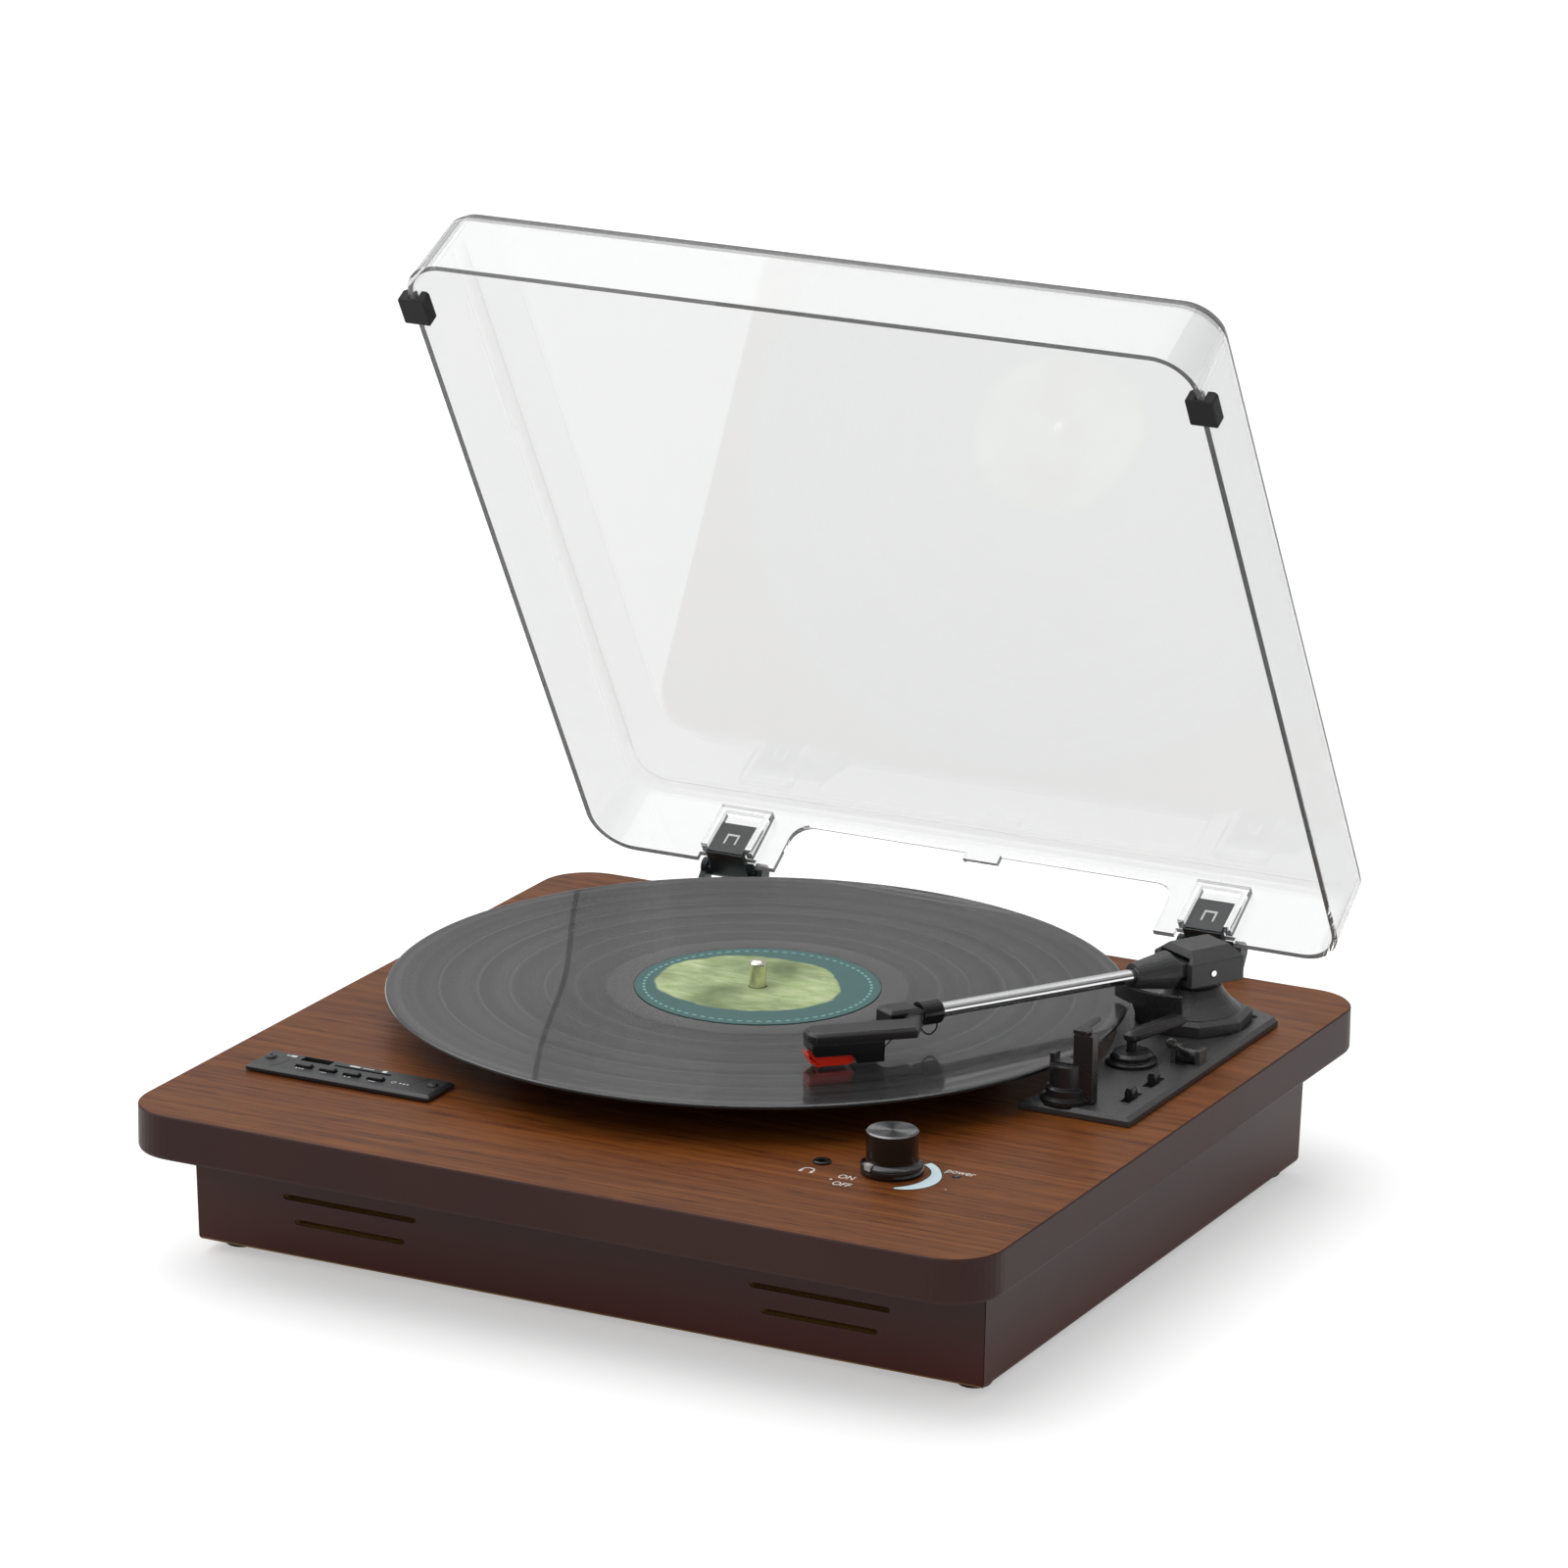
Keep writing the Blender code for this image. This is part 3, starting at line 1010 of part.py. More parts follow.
def front_controls(root):
    """Volume knob with its control, headphone socket and power lamp."""
    axis = empty("knob_axis", (KNOB_X, KNOB_Y, 0.0), root)
    low, top = ON_DECK, DECK_TOP + KNOB_HEIGHT
    shaft_end = DECK_UNDERSIDE + 0.0015
    r, skirt, shaft = KNOB_RADIUS, KNOB_SKIRT_RADIUS, KNOB_SHAFT_RADIUS
    knob = [(0.0, top), (r - 0.0007, top), (r, top - 0.0007), (r, low + 0.0048),
            (skirt - 0.0006, low + 0.0040),
            (skirt, low + 0.0030), (skirt, low), (shaft, low), (shaft, shaft_end), (0.0, shaft_end)]
    piece("volume_knob", turned(knob, 32), GLOSS_BLACK, axis)
    bore = shaft + CLEARANCE
    bush = shaft + 0.0015
    body_top = DECK_UNDERSIDE - CLEARANCE
    control = [(bore, DECK_TOP - 0.0040), (bush, DECK_TOP - 0.0040), (bush, body_top), (0.0085, body_top),
               (0.0085, body_top - 0.0090), (0.0, body_top - 0.0090), (0.0, body_top), (bore, body_top)]
    piece("volume_control", turned(control, 20), STEEL, root, (KNOB_X, KNOB_Y, 0.0))

    end = DECK_UNDERSIDE - 0.0030
    jack = [(JACK_BORE, DECK_TOP + 0.0010), (JACK_RING_RADIUS - 0.0004, DECK_TOP + 0.0010),
            (JACK_RING_RADIUS, DECK_TOP + 0.0006), (JACK_RING_RADIUS, ON_DECK),
            (JACK_BARREL_RADIUS, ON_DECK),
            (JACK_BARREL_RADIUS, end), (0.0, end), (0.0, DECK_TOP - 0.0120), (JACK_BORE, DECK_TOP - 0.0120)]
    piece("headphone_socket", turned(jack, 20), GLOSS_BLACK, root, (JACK_X, JACK_Y, 0.0))

    r = LAMP_RADIUS
    lamp = [(0.0, DECK_TOP + 0.0008), (r * 0.7, DECK_TOP + 0.0005), (r, DECK_TOP - 0.0002),
            (r, DECK_TOP - 0.0060),
            (0.0, DECK_TOP - 0.0060)]
    piece("power_lamp", turned(lamp, 12), GLOSS_BLACK, root, (LAMP_X, LAMP_Y, 0.0))


def control_panel(root):
    """Bevelled plate with a tray through the board, four buttons, two screws and the media board."""
    place = empty("control_place", (CONTROL_X, CONTROL_Y, ON_DECK), root)
    w, d, bevel = CONTROL_WIDTH, CONTROL_DEPTH, CONTROL_BEVEL
    tray_w, tray_d, drop = CONTROL_TRAY_WIDTH, CONTROL_TRAY_DEPTH, CONTROL_TRAY_DROP
    top = CONTROL_THICKNESS
    plate = piece("control_panel", loft([
        at_height(rounded_rectangle(tray_w, tray_d, 0.0006, steps=2), -drop),
        at_height(rounded_rectangle(tray_w, tray_d, 0.0006, steps=2), OVERLAP),
        at_height(rounded_rectangle(w, d, 0.0010, steps=2), OVERLAP * 0.5),
        at_height(rounded_rectangle(w, d, 0.0010, steps=2), top - bevel * 0.6),
        at_height(rounded_rectangle(w - 2 * bevel, d - 2 * bevel, 0.0008, steps=2), top)]), GLOSS_BLACK,
                  place)
    wall = 0.0009
    cut(plate, centred_box(0.0, 0.0, tray_w - 2 * wall, tray_d - 2 * wall, -drop - CUT_THROUGH,
                           top - 0.0022), "tray")
    slots = bmesh.new()
    low, high = -drop * 0.5, top + CUT_THROUGH
    gap = 2 * CLEARANCE
    for k in range(len(BUTTON_NAMES)):
        centred_box(BUTTON_FIRST_X + k * BUTTON_PITCH, BUTTON_Y, BUTTON_WIDTH + gap, BUTTON_DEPTH + gap,
                    low, high, slots)
    centred_box(USB_X, USB_Y, USB_WIDTH, USB_DEPTH, low, high, slots)
    centred_box(CARD_X, CARD_Y, CARD_WIDTH, CARD_DEPTH, low, high, slots)
    for side in (-1, 1):
        hole(slots, side * PANEL_SCREW_X, PANEL_SCREW_Y, SCREW_SHANK_RADIUS + CLEARANCE, -CUT_THROUGH, high,
             10)
    cut(plate, slots, "slots")

    board_top = -drop - CLEARANCE
    for k, name in enumerate(BUTTON_NAMES):
        x = BUTTON_FIRST_X + k * BUTTON_PITCH
        axis = empty(f"button_{name}_axis", (x, BUTTON_Y, top), place)
        end = board_top + 0.0015 - top
        button = loft([at_height(rounded_rectangle(BUTTON_WIDTH, BUTTON_DEPTH, 0.0008, steps=2), end),
                       at_height(rounded_rectangle(BUTTON_WIDTH, BUTTON_DEPTH, 0.0008, steps=2),
                                 BUTTON_RISE * 0.6),
                       at_height(rounded_rectangle(BUTTON_WIDTH - 0.0012, BUTTON_DEPTH - 0.0010, 0.0005,
                                                   steps=2),
                                 BUTTON_RISE)])
        piece(f"button_{name}", button, GLOSS_BLACK, axis)

    for side, label in ((-1, "left"), (1, "right")):
        head = top + CLEARANCE
        r, shank = SCREW_HEAD_RADIUS, SCREW_SHANK_RADIUS
        screw = [(0.0, head + 0.0002), (r * 0.35, head + 0.0002), (r * 0.45, head + 0.0007),
                 (r * 0.8, head + 0.0006),
                 (r, head), (shank, head), (shank, CLEARANCE), (0.0, CLEARANCE)]
        piece(f"panel_screw_{label}", turned(screw, 16), STEEL, place,
              (side * PANEL_SCREW_X, PANEL_SCREW_Y, 0.0))

    board = centred_box(0.0, 0.0, tray_w - 0.0040, tray_d, board_top - BOARD_THICKNESS, board_top)
    board = piece("media_board", board, CIRCUIT_GREEN, place)
    shell = 0.0005
    join(board, centred_box(USB_X, USB_Y - 0.0002, USB_WIDTH + 2 * shell, USB_DEPTH + 2 * shell - 0.0004,
                            board_top - 0.0100, -CLEARANCE - 0.0004), "usb_shell")
    cut(board, centred_box(USB_X, USB_Y - 0.0002, USB_WIDTH, USB_DEPTH - 0.0004, board_top - 0.0090,
                           CUT_THROUGH),
        "usb_socket")


def lid_outline(inward, corner):
    width = LID_WIDTH - 2 * inward
    depth = LID_DEPTH - 2 * inward
    return rounded_rectangle(width, depth, corner - inward, 0.0, LID_REAR - LID_DEPTH / 2, 12)


def lid(axis):
    """Clear cover with its rear window, hinge notches and hinge pockets."""
    wall, draft, r, h = LID_WALL, LID_DRAFT, LID_CORNER_RADIUS, LID_HEIGHT
    rim, top = RIM_Z, RIM_Z + h
    rings = [(wall + draft + 0.0045, r + 0.004, top - wall), (wall + draft + 0.0012, r, top - wall - 0.0010),
             (wall + draft * 0.95, r, top - wall - 0.0035), (wall, r, rim), (0.0, r, rim),
             (draft * 0.95, r, top - 0.0040), (draft + 0.0014, r, top - 0.0011),
             (draft + 0.0045, r + 0.002, top)]
    body = piece("lid", loft([at_height(lid_outline(inward, corner), z) for inward, corner, z in rings]),
                 CLEAR_ACRYLIC, axis)
    inside = LID_REAR - wall - draft - CUT_THROUGH
    for side, label in ((-1, "left"), (1, "right")):
        x = side * HINGE_SPREAD
        half, gap, rib = TONGUE_HALF_WIDTH, 0.0004, 0.0030
        low, high = RIM_Z + 0.0032, RIM_Z + 0.0270
        frame = [(x - half - gap - rib, low), (x - half - gap, low), (x - half - gap, high - rib),
                 (x + half + gap, high - rib), (x + half + gap, low), (x + half + gap + rib, low),
                 (x + half + gap + rib, high), (x - half - gap - rib, high)]
        join(body, prism(frame, LID_REAR - wall - 0.0056, LID_REAR - wall + 0.0001, "Y"), f"pocket_{label}")
    window = bmesh.new()
    w, top_z, corner = WINDOW_HALF_WIDTH, RIM_Z + WINDOW_HEIGHT, WINDOW_RADIUS
    low = RIM_Z - CUT_THROUGH
    tab = 0.0080
    shape = [(-w, low), (w, low)] + arc(w - corner, top_z - corner, corner, 0, 90, 5)
    shape += [(tab, top_z), (tab, top_z - 0.0050), (-tab, top_z - 0.0050), (-tab, top_z)]
    shape += arc(-w + corner, top_z - corner, corner, 90, 180, 5)
    prism(shape, inside, LID_REAR + CUT_THROUGH, "Y", window)
    for side in (-1, 1):
        x, half = side * HINGE_SPREAD, HINGE_HALF_WIDTH + HINGE_EAR * 0.6
        box((x - half, LID_REAR - wall - 0.0012, low), (x + half, LID_REAR + CUT_THROUGH, RIM_Z + 0.0030),
            window)
    cut(body, window, "rear_openings")


def lid_hinges(root, axis):
    """Fixed bracket on the back of the top board, and the tongue that the lid slides onto."""
    deck_back = -HINGE_BEHIND_DECK
    arm_low, arm_high = RIM_Z + CLEARANCE, RIM_Z + 0.0027
    tongue_back = LID_REAR - LID_WALL - TONGUE_WALL_GAP
    tongue_front = tongue_back - TONGUE_THICKNESS
    r = HINGE_KNUCKLE_RADIUS
    for side, label in ((-1, "left"), (1, "right")):
        x = side * HINGE_SPREAD
        half = HINGE_HALF_WIDTH
        knuckle = arc(0.0, 0.0, r, 230.0, 510.0, 14)
        knuckle_piece = piece(f"hinge_leaf_{label}",
                              prism(knuckle, x - half + CLEARANCE, x + half - CLEARANCE, "X"),
                              BLACK_PLASTIC, axis)
        join(knuckle_piece, box((x - half + 0.0030, tongue_front, arm_low),
                                (x + half - 0.0030, -0.0010, arm_high)),
             "arm")
        join(knuckle_piece, box((x - TONGUE_HALF_WIDTH, tongue_front, arm_low + OVERLAP),
                                (x + TONGUE_HALF_WIDTH, tongue_back, RIM_Z + TONGUE_REACH)), "tongue")
        pin_half = half + HINGE_EAR
        join(knuckle_piece, prism(circle(0.0, 0.0, HINGE_PIN_RADIUS, 12), x - pin_half, x + pin_half, "X"),
             "pin")

        plate_back = deck_back + CLEARANCE
        plate_front = plate_back + 0.0025
        low, high = -0.0230, RIM_Z - LID_RIM_GAP * 0.4
        bracket = box((x - half - HINGE_EAR, plate_back, low), (x + half + HINGE_EAR, plate_front, high))
        bracket = piece(f"hinge_bracket_{label}", bracket, BLACK_PLASTIC, root, (0.0, HINGE_Y, HINGE_Z))
        for end in (-1, 1):
            inner = x + end * (half + CLEARANCE)
            outer = x + end * (half + HINGE_EAR)
            ear = arc(0.0, 0.0, r, -30.0, 200.0, 10)
            ear += [(LID_REAR + 2 * CLEARANCE, high), (plate_back + 0.0010, high),
                    (plate_back + 0.0010, low)]
            join(bracket, prism(ear, min(inner, outer), max(inner, outer), "X"), f"ear{end}")
        cut(bracket, prism(circle(0.0, 0.0, HINGE_PIN_RADIUS + CLEARANCE, 12), x - half - 0.02,
                           x + half + 0.02, "X"),
            "pin_bore")


def lid_bumpers(axis):
    """Rubber feet clipped over the lid's rim near its front corners."""
    y = LID_REAR - LID_DEPTH + BUMPER_FROM_FRONT
    wall = LID_WIDTH / 2
    deck = -HINGE_ABOVE_DECK
    for side, label in ((-1, "left"), (1, "right")):
        out, into = wall + 0.0050, wall - BUMPER_WIDTH + 0.0050
        slot_out, slot_in = wall + CLEARANCE, wall - LID_WALL - 2 * CLEARANCE
        low, floor, high = deck + CLEARANCE, RIM_Z - CLEARANCE, RIM_Z + 0.0050
        outline = [(side * a, b) for a, b in (
            (into, low), (out, low), (out, high - 0.0010), (out - 0.0015, high), (slot_out, high),
                                              (slot_out, floor),
            (slot_in, floor), (slot_in, high), (into + 0.0015, high), (into, high - 0.0010))]
        bumper = prism(outline, y - BUMPER_LENGTH / 2, y + BUMPER_LENGTH / 2, "Y")
        piece(f"lid_bumper_{label}", bumper, RUBBER, axis)


def rearmost():
    """How far back the open lid reaches in the plinth's frame."""
    swing = math.radians(LID_OPEN_ANGLE)
    corners = [(LID_REAR, RIM_Z), (LID_REAR - LID_DRAFT, RIM_Z + LID_HEIGHT - 0.0040),
               (LID_REAR - LID_DRAFT - 0.0014, RIM_Z + LID_HEIGHT - 0.0011)]
    return HINGE_Y + max(y * math.cos(swing) + z * math.sin(swing) for y, z in corners)


def main():
    clear_scene()
    middle = (rearmost() - DECK_DEPTH / 2) / 2
    root = empty("record_player", (0.0, -middle, 0.0))
    top_board(root)
    base_panels(root)
    bottom(root)
    speakers(root)
    rear_sockets(root)
    main_board(root)

    platter_axis = empty("platter_axis", (SPINDLE_X, SPINDLE_Y, 0.0), root)
    drive(root)
    platter(platter_axis)

    tonearm_plate(root)
    pedestal(root)
    swing = empty("arm_swing_axis", (ARM_X, ARM_Y, ARM_Z), root, (0.0, 0.0, math.radians(ARM_HEADING)))
    pitch = empty("arm_pitch_axis", (0.0, 0.0, 0.0), swing, (0.0, math.radians(-ARM_TILT), 0.0))
    pivot_housing(swing)
    arm_sleeve(pitch)
    arm_tube(pitch)
    headshell(pitch)
    cartridge(pitch)
    arm_rest(root)
    cue_lift(root)

    front_controls(root)
    control_panel(root)

    lid_axis = empty("lid_axis", (0.0, HINGE_Y, HINGE_Z), root, (math.radians(-LID_OPEN_ANGLE), 0.0, 0.0))
    lid(lid_axis)
    lid_hinges(root, lid_axis)
    lid_bumpers(lid_axis)
    bpy.context.view_layer.update()


if __name__ == "__main__":
    main()
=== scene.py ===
"""Looks for the record player: surfaces, printed marks, fine trim and the studio.

Everything is in metres in the frame's own axes, +Z up, +Y to the rear. Places come from
the frame's pieces.
"""

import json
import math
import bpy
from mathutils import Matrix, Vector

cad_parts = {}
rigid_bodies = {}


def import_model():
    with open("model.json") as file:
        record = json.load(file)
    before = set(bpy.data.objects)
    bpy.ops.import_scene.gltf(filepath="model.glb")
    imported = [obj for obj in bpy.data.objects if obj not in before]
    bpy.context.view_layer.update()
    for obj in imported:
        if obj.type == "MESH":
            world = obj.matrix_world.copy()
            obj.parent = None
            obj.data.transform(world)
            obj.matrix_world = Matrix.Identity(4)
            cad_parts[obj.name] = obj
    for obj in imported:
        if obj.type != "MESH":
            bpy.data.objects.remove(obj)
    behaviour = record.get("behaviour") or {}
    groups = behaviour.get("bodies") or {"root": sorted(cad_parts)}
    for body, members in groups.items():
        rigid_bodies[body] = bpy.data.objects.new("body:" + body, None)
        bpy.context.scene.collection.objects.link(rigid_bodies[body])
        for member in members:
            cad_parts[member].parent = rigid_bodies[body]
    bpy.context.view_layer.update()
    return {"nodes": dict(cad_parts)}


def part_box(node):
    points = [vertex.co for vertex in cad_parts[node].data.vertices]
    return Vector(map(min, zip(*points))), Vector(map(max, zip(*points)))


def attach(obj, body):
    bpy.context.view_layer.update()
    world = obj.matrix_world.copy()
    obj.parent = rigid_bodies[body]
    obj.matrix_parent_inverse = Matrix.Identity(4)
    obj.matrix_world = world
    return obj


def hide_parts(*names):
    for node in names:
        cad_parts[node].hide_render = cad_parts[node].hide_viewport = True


bl_info = {
    "name": "Record player looks",
    "version": (1, 0, 0),
    "blender": (4, 5, 0),
    "location": "View3D > Sidebar > Record player",
    "description": "Surfaces, printed marks, trim and studio for the record player",
    "category": "Object",
}

import bmesh
import bpy
from bpy.props import FloatProperty, FloatVectorProperty, IntProperty, PointerProperty
from mathutils import Matrix, Vector

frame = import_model()
NODES = frame["nodes"]


def middle(node):
    low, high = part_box(node)
    return (Vector(low) + Vector(high)) / 2


DECK_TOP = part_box("top_board")[1][2]
SPINDLE = middle("spindle")
KNOB = middle("volume_knob")
LID_SWING = math.radians(59.5)         # how far open the cover stands
# Hinge axis: a little behind the brackets' middle and above the deck.
LID_HINGE = Vector((0.0, middle("hinge_bracket_left")[1] + 0.0034, DECK_TOP + 0.0068))
COVER_RIM = -0.0045                    # height of the cover's lower rim, from the hinge axis
CLIP_FACE = -0.0139                    # face the clip plates lie on, from the hinge axis
ARM_HEADING = math.radians(240.0)      # from the pivot to the cartridge, arm at rest
POINTER_HEADING = math.radians(244.0)  # the knob's pale pointer
SHARP_ANGLE = math.radians(32)         # edges sharper than this stay crisp
BORE_RADIUS = 0.00385                  # hole in the disc and its label
GROOVE_DROP = 0.00016                  # grooved part below the rim and the label
DASHED_RADIUS = 0.0462                 # dashed circle on the label
KNOB_RADIUS = 0.0102                   # upper part of the knob
LAMP_SPREAD = math.radians(76)         # apparent width of both lamps
CAMERA_PLACE = (1.32458, -2.60158, 1.03832)
CAMERA_TURN = (math.radians(73.5331), math.radians(-0.6496), math.radians(27.1372))
# Smooth bands between the recorded tracks: radius of the middle, half width.
SMOOTH_BANDS = ((0.1462, 0.0011), (0.1290, 0.0004), (0.1135, 0.0004), (0.1004, 0.0004),
                (0.0862, 0.0004), (0.0738, 0.0004), (0.0560, 0.0052))


def colour(name, description, value):
    return FloatVectorProperty(name=name, description=description, default=value, subtype="COLOR",
                               min=0.0, max=1.0)


def number(name, description, value, **limits):
    return FloatProperty(name=name, description=description, default=value, **limits)


def length(name, description, value):
    return number(name, description, value, unit="LENGTH", precision=5)


def facets(description, value, low, high):
    return IntProperty(name="Segments", description=description, default=value, min=low, max=high)


class WoodFinish(bpy.types.PropertyGroup):
    """Stained veneer on top, smooth stained edges and base."""
    light: colour("Early wood", "Lighter part of the grain", (0.225, 0.071, 0.012))
    dark: colour("Late wood", "Darker part of the grain", (0.120, 0.031, 0.0050))
    pore: colour("Pores", "Open pores of the veneer", (0.036, 0.009, 0.003))
    side: colour("Edges and base", "Smooth stained edges", (0.040, 0.0155, 0.0125))
    glow: colour("Worn stain", "Redder stain low on the base", (0.095, 0.0150, 0.0065))
    raw: colour("Raw board", "Bare board inside the sound slots", (0.30, 0.17, 0.05))


class RecordFinish(bpy.types.PropertyGroup):
    """The disc and its label."""
    vinyl: colour("Vinyl", "Black of the disc", (0.014, 0.014, 0.0145))
    ring: colour("Label ring", "Outer ring of the label", (0.040, 0.120, 0.112))
    field: colour("Label field", "Middle of the label", (0.27, 0.38, 0.13))
    segments: facets("Facets round the disc", 256, 48, 512)


class MouldingFinish(bpy.types.PropertyGroup):
    """Black plastics, metals and the clear cover."""
    textured: colour("Textured black", "Tonearm mouldings", (0.046, 0.046, 0.047))
    satin: colour("Satin black", "Control panel", (0.026, 0.027, 0.029))
    gloss: colour("Gloss black", "Buttons, cartridge and collar", (0.010, 0.010, 0.011))
    red: colour("Stylus red", "Stylus guard", (0.90, 0.030, 0.008))
    clear: colour("Clear cover", "Tint of the cover", (0.928, 0.932, 0.932))
    clip: colour("Clip plate", "Plates in the cover's hinge pockets", (0.085, 0.085, 0.087))
    edge: length("Edge radius", "Softened edge on moulded pieces", 0.00035)


class PrintedMarks(bpy.types.PropertyGroup):
    """Ink printed on the deck and the control panel."""
    ink: colour("Ink", "Printed symbols", (0.74, 0.73, 0.70))
    scale: colour("Volume scale", "Crescent beside the knob", (0.66, 0.83, 0.88))
    depth: length("Ink thickness", "How far the ink stands proud", 0.00004)
    start: number("Scale start", "Thin end of the volume scale", math.radians(-62.0), subtype="ANGLE")
    end: number("Scale end", "Wide end of the volume scale", math.radians(62.0), subtype="ANGLE")


class KnobShape(bpy.types.PropertyGroup):
    """Turned volume knob."""
    chamfer: length("Chamfer", "Bright edge round the top", 0.0006)
    marker: length("Marker width", "Pale pointer on the skirt", 0.0036)
    segments: facets("Facets round the knob", 96, 24, 256)


class StudioSettings(bpy.types.PropertyGroup):
    """Floor, lamps, surroundings and camera."""
    floor: colour("Floor", "Pale floor", (0.80, 0.80, 0.80))
    lift: number("Floor lift", "Glow that brings the floor to white in view", 0.42)
    mirror: number("Floor lift in gloss", "The same in gloss and clear pieces", 0.18)
    sky: number("Surroundings", "Plain light from all round", 0.52)
    horizon: number("Reflected horizon", "What gloss shows low at the back", 0.50)
    front: number("Reflected front", "What gloss shows towards the front", 0.12)
    overhead: number("Reflected ceiling", "What gloss shows overhead", 0.75)
    key: number("Key lamp", "Broad soft lamp above the rear left", 1.62)
    fill: number("Fill lamp", "Weak soft lamp at the front left", 0.18)
    lens: number("Lens", "Focal length", 174.93, unit="CAMERA")


def settings(name):
    return getattr(bpy.context.scene, "record_player_" + name)


# ---------------------------------------------------------------- shader helpers


def preset(node, **inputs):
    """Set plain values on the node's inputs of those names."""
    for key, value in inputs.items():
        socket = node.inputs[key.replace("_", " ")]
        socket.default_value = (*value, 1.0) if socket.type == "RGBA" else value
    return node


def add(tree, kind, **inputs):
    return preset(tree.nodes.new(kind), **inputs)


def feed(node, **sockets):
    """Link sockets into the node's inputs of those names."""
    for key, value in sockets.items():
        node.id_data.links.new(value, node.inputs[key.replace("_", " ")])


def calc(tree, operation, first, second=None, third=None, clamp=False):
    """A math node on numbers or sockets; returns its output."""
    node = tree.nodes.new("ShaderNodeMath")
    node.operation = operation
    node.use_clamp = clamp
    for socket, value in zip(node.inputs, (first, second, third)):
        if value is None:
            continue
        if isinstance(value, bpy.types.NodeSocket):
            tree.links.new(value, socket)
        else:
            socket.default_value = value
    return node.outputs[0]


def blend_colours(tree, amount, first, second):
    """Mix of two colours, each a socket or three numbers."""
    node = tree.nodes.new("ShaderNodeMix")
    node.data_type = "RGBA"
    for socket, value in ((node.inputs[0], amount), (node.inputs[6], first), (node.inputs[7], second)):
        if isinstance(value, bpy.types.NodeSocket):
            tree.links.new(value, socket)
        elif isinstance(value, float):
            socket.default_value = value
        else:
            socket.default_value = (*value, 1.0)
    return node.outputs[2]


def one_minus(tree, value):
    return calc(tree, "SUBTRACT", 1.0, value)


def ramp(tree, value, low, high):
    """0 below low, 1 above high, straight between."""
    node = add(tree, "ShaderNodeMapRange", From_Min=low, From_Max=high)
    feed(node, Value=value)
    return node.outputs[0]


def split(tree, vector):
    """The X, Y and Z outputs of a vector."""
    parts = tree.nodes.new("ShaderNodeSeparateXYZ")
    tree.links.new(vector, parts.inputs[0])
    return parts.outputs


def heading(tree, vector):
    """Angle of a vector about the upright axis."""
    parts = split(tree, vector)
    return calc(tree, "ARCTAN2", parts["Y"], parts["X"])


def reach(tree, vector):
    """How long a vector is."""
    node = tree.nodes.new("ShaderNodeVectorMath")
    node.operation = "LENGTH"
    tree.links.new(vector, node.inputs[0])
    return node.outputs["Value"]


def place(tree, scale, offset=(0.0, 0.0, 0.0), turn=(0.0, 0.0, 0.0)):
    """Object coordinates moved so that offset is the middle, then scaled."""
    coordinates = tree.nodes.new("ShaderNodeTexCoord")
    shift = tree.nodes.new("ShaderNodeVectorMath")
    shift.operation = "SUBTRACT"
    shift.inputs[1].default_value = offset
    tree.links.new(coordinates.outputs["Object"], shift.inputs[0])
    mapping = add(tree, "ShaderNodeMapping", Rotation=turn, Scale=scale)
    feed(mapping, Vector=shift.outputs[0])
    return mapping.outputs[0]


def from_axis(tree, axis, stretch=1.0):
    """Object coordinates from an upright axis, without their height."""
    return place(tree, (1.0, stretch, 0.0), (axis[0], axis[1], 0.0))


def noise(tree, vector, detail=3.0, roughness=0.55, distortion=0.0):
    node = add(tree, "ShaderNodeTexNoise", Scale=1.0, Detail=detail, Roughness=roughness,
               Distortion=distortion)
    feed(node, Vector=vector)
    return node.outputs["Fac"]


def line_noise(tree, value, scale, roughness=0.5):
    """Noise along one number, such as a radius."""
    node = add(tree, "ShaderNodeTexNoise", Scale=scale, Detail=2.0, Roughness=roughness)
    node.noise_dimensions = "1D"
    feed(node, W=value)
    return node.outputs["Fac"]


def bump(tree, height, strength, distance):
    node = add(tree, "ShaderNodeBump", Strength=strength, Distance=distance)
    feed(node, Height=height)
    return node.outputs["Normal"]


def turned_sheen(tree, shader):
    """Draw highlights out in rays from the middle, as on a turned face."""
    tangent = tree.nodes.new("ShaderNodeTangent")
    tangent.direction_type = "RADIAL"
    tangent.axis = "Z"
    feed(shader, Tangent=tangent.outputs[0])


def surface(name, base, roughness=0.5, metallic=0.0, **sockets):
    """A material with a plain Principled BSDF; returns the material, its tree and the shader."""
    material = bpy.data.materials.new(name)
    material.use_nodes = True
    tree = material.node_tree
    shader = tree.nodes["Principled BSDF"]
    preset(shader, Base_Color=base, Roughness=roughness, Metallic=metallic, **sockets)
    return material, tree, shader


def new_group(name, inputs, outputs):
    """A shader node group with named sockets; returns the group and its two end nodes."""
    group = bpy.data.node_groups.new(name, "ShaderNodeTree")
    for label, kind, default in inputs:
        socket = group.interface.new_socket(label, in_out="INPUT", socket_type=kind)
        socket.default_value = default
    for label, kind in outputs:
        group.interface.new_socket(label, in_out="OUTPUT", socket_type=kind)
    return group, group.nodes.new("NodeGroupInput"), group.nodes.new("NodeGroupOutput")


def use_group(tree, name, **inputs):
    node = tree.nodes.new("ShaderNodeGroup")
    node.node_tree = bpy.data.node_groups[name]
    return preset(node, **inputs)


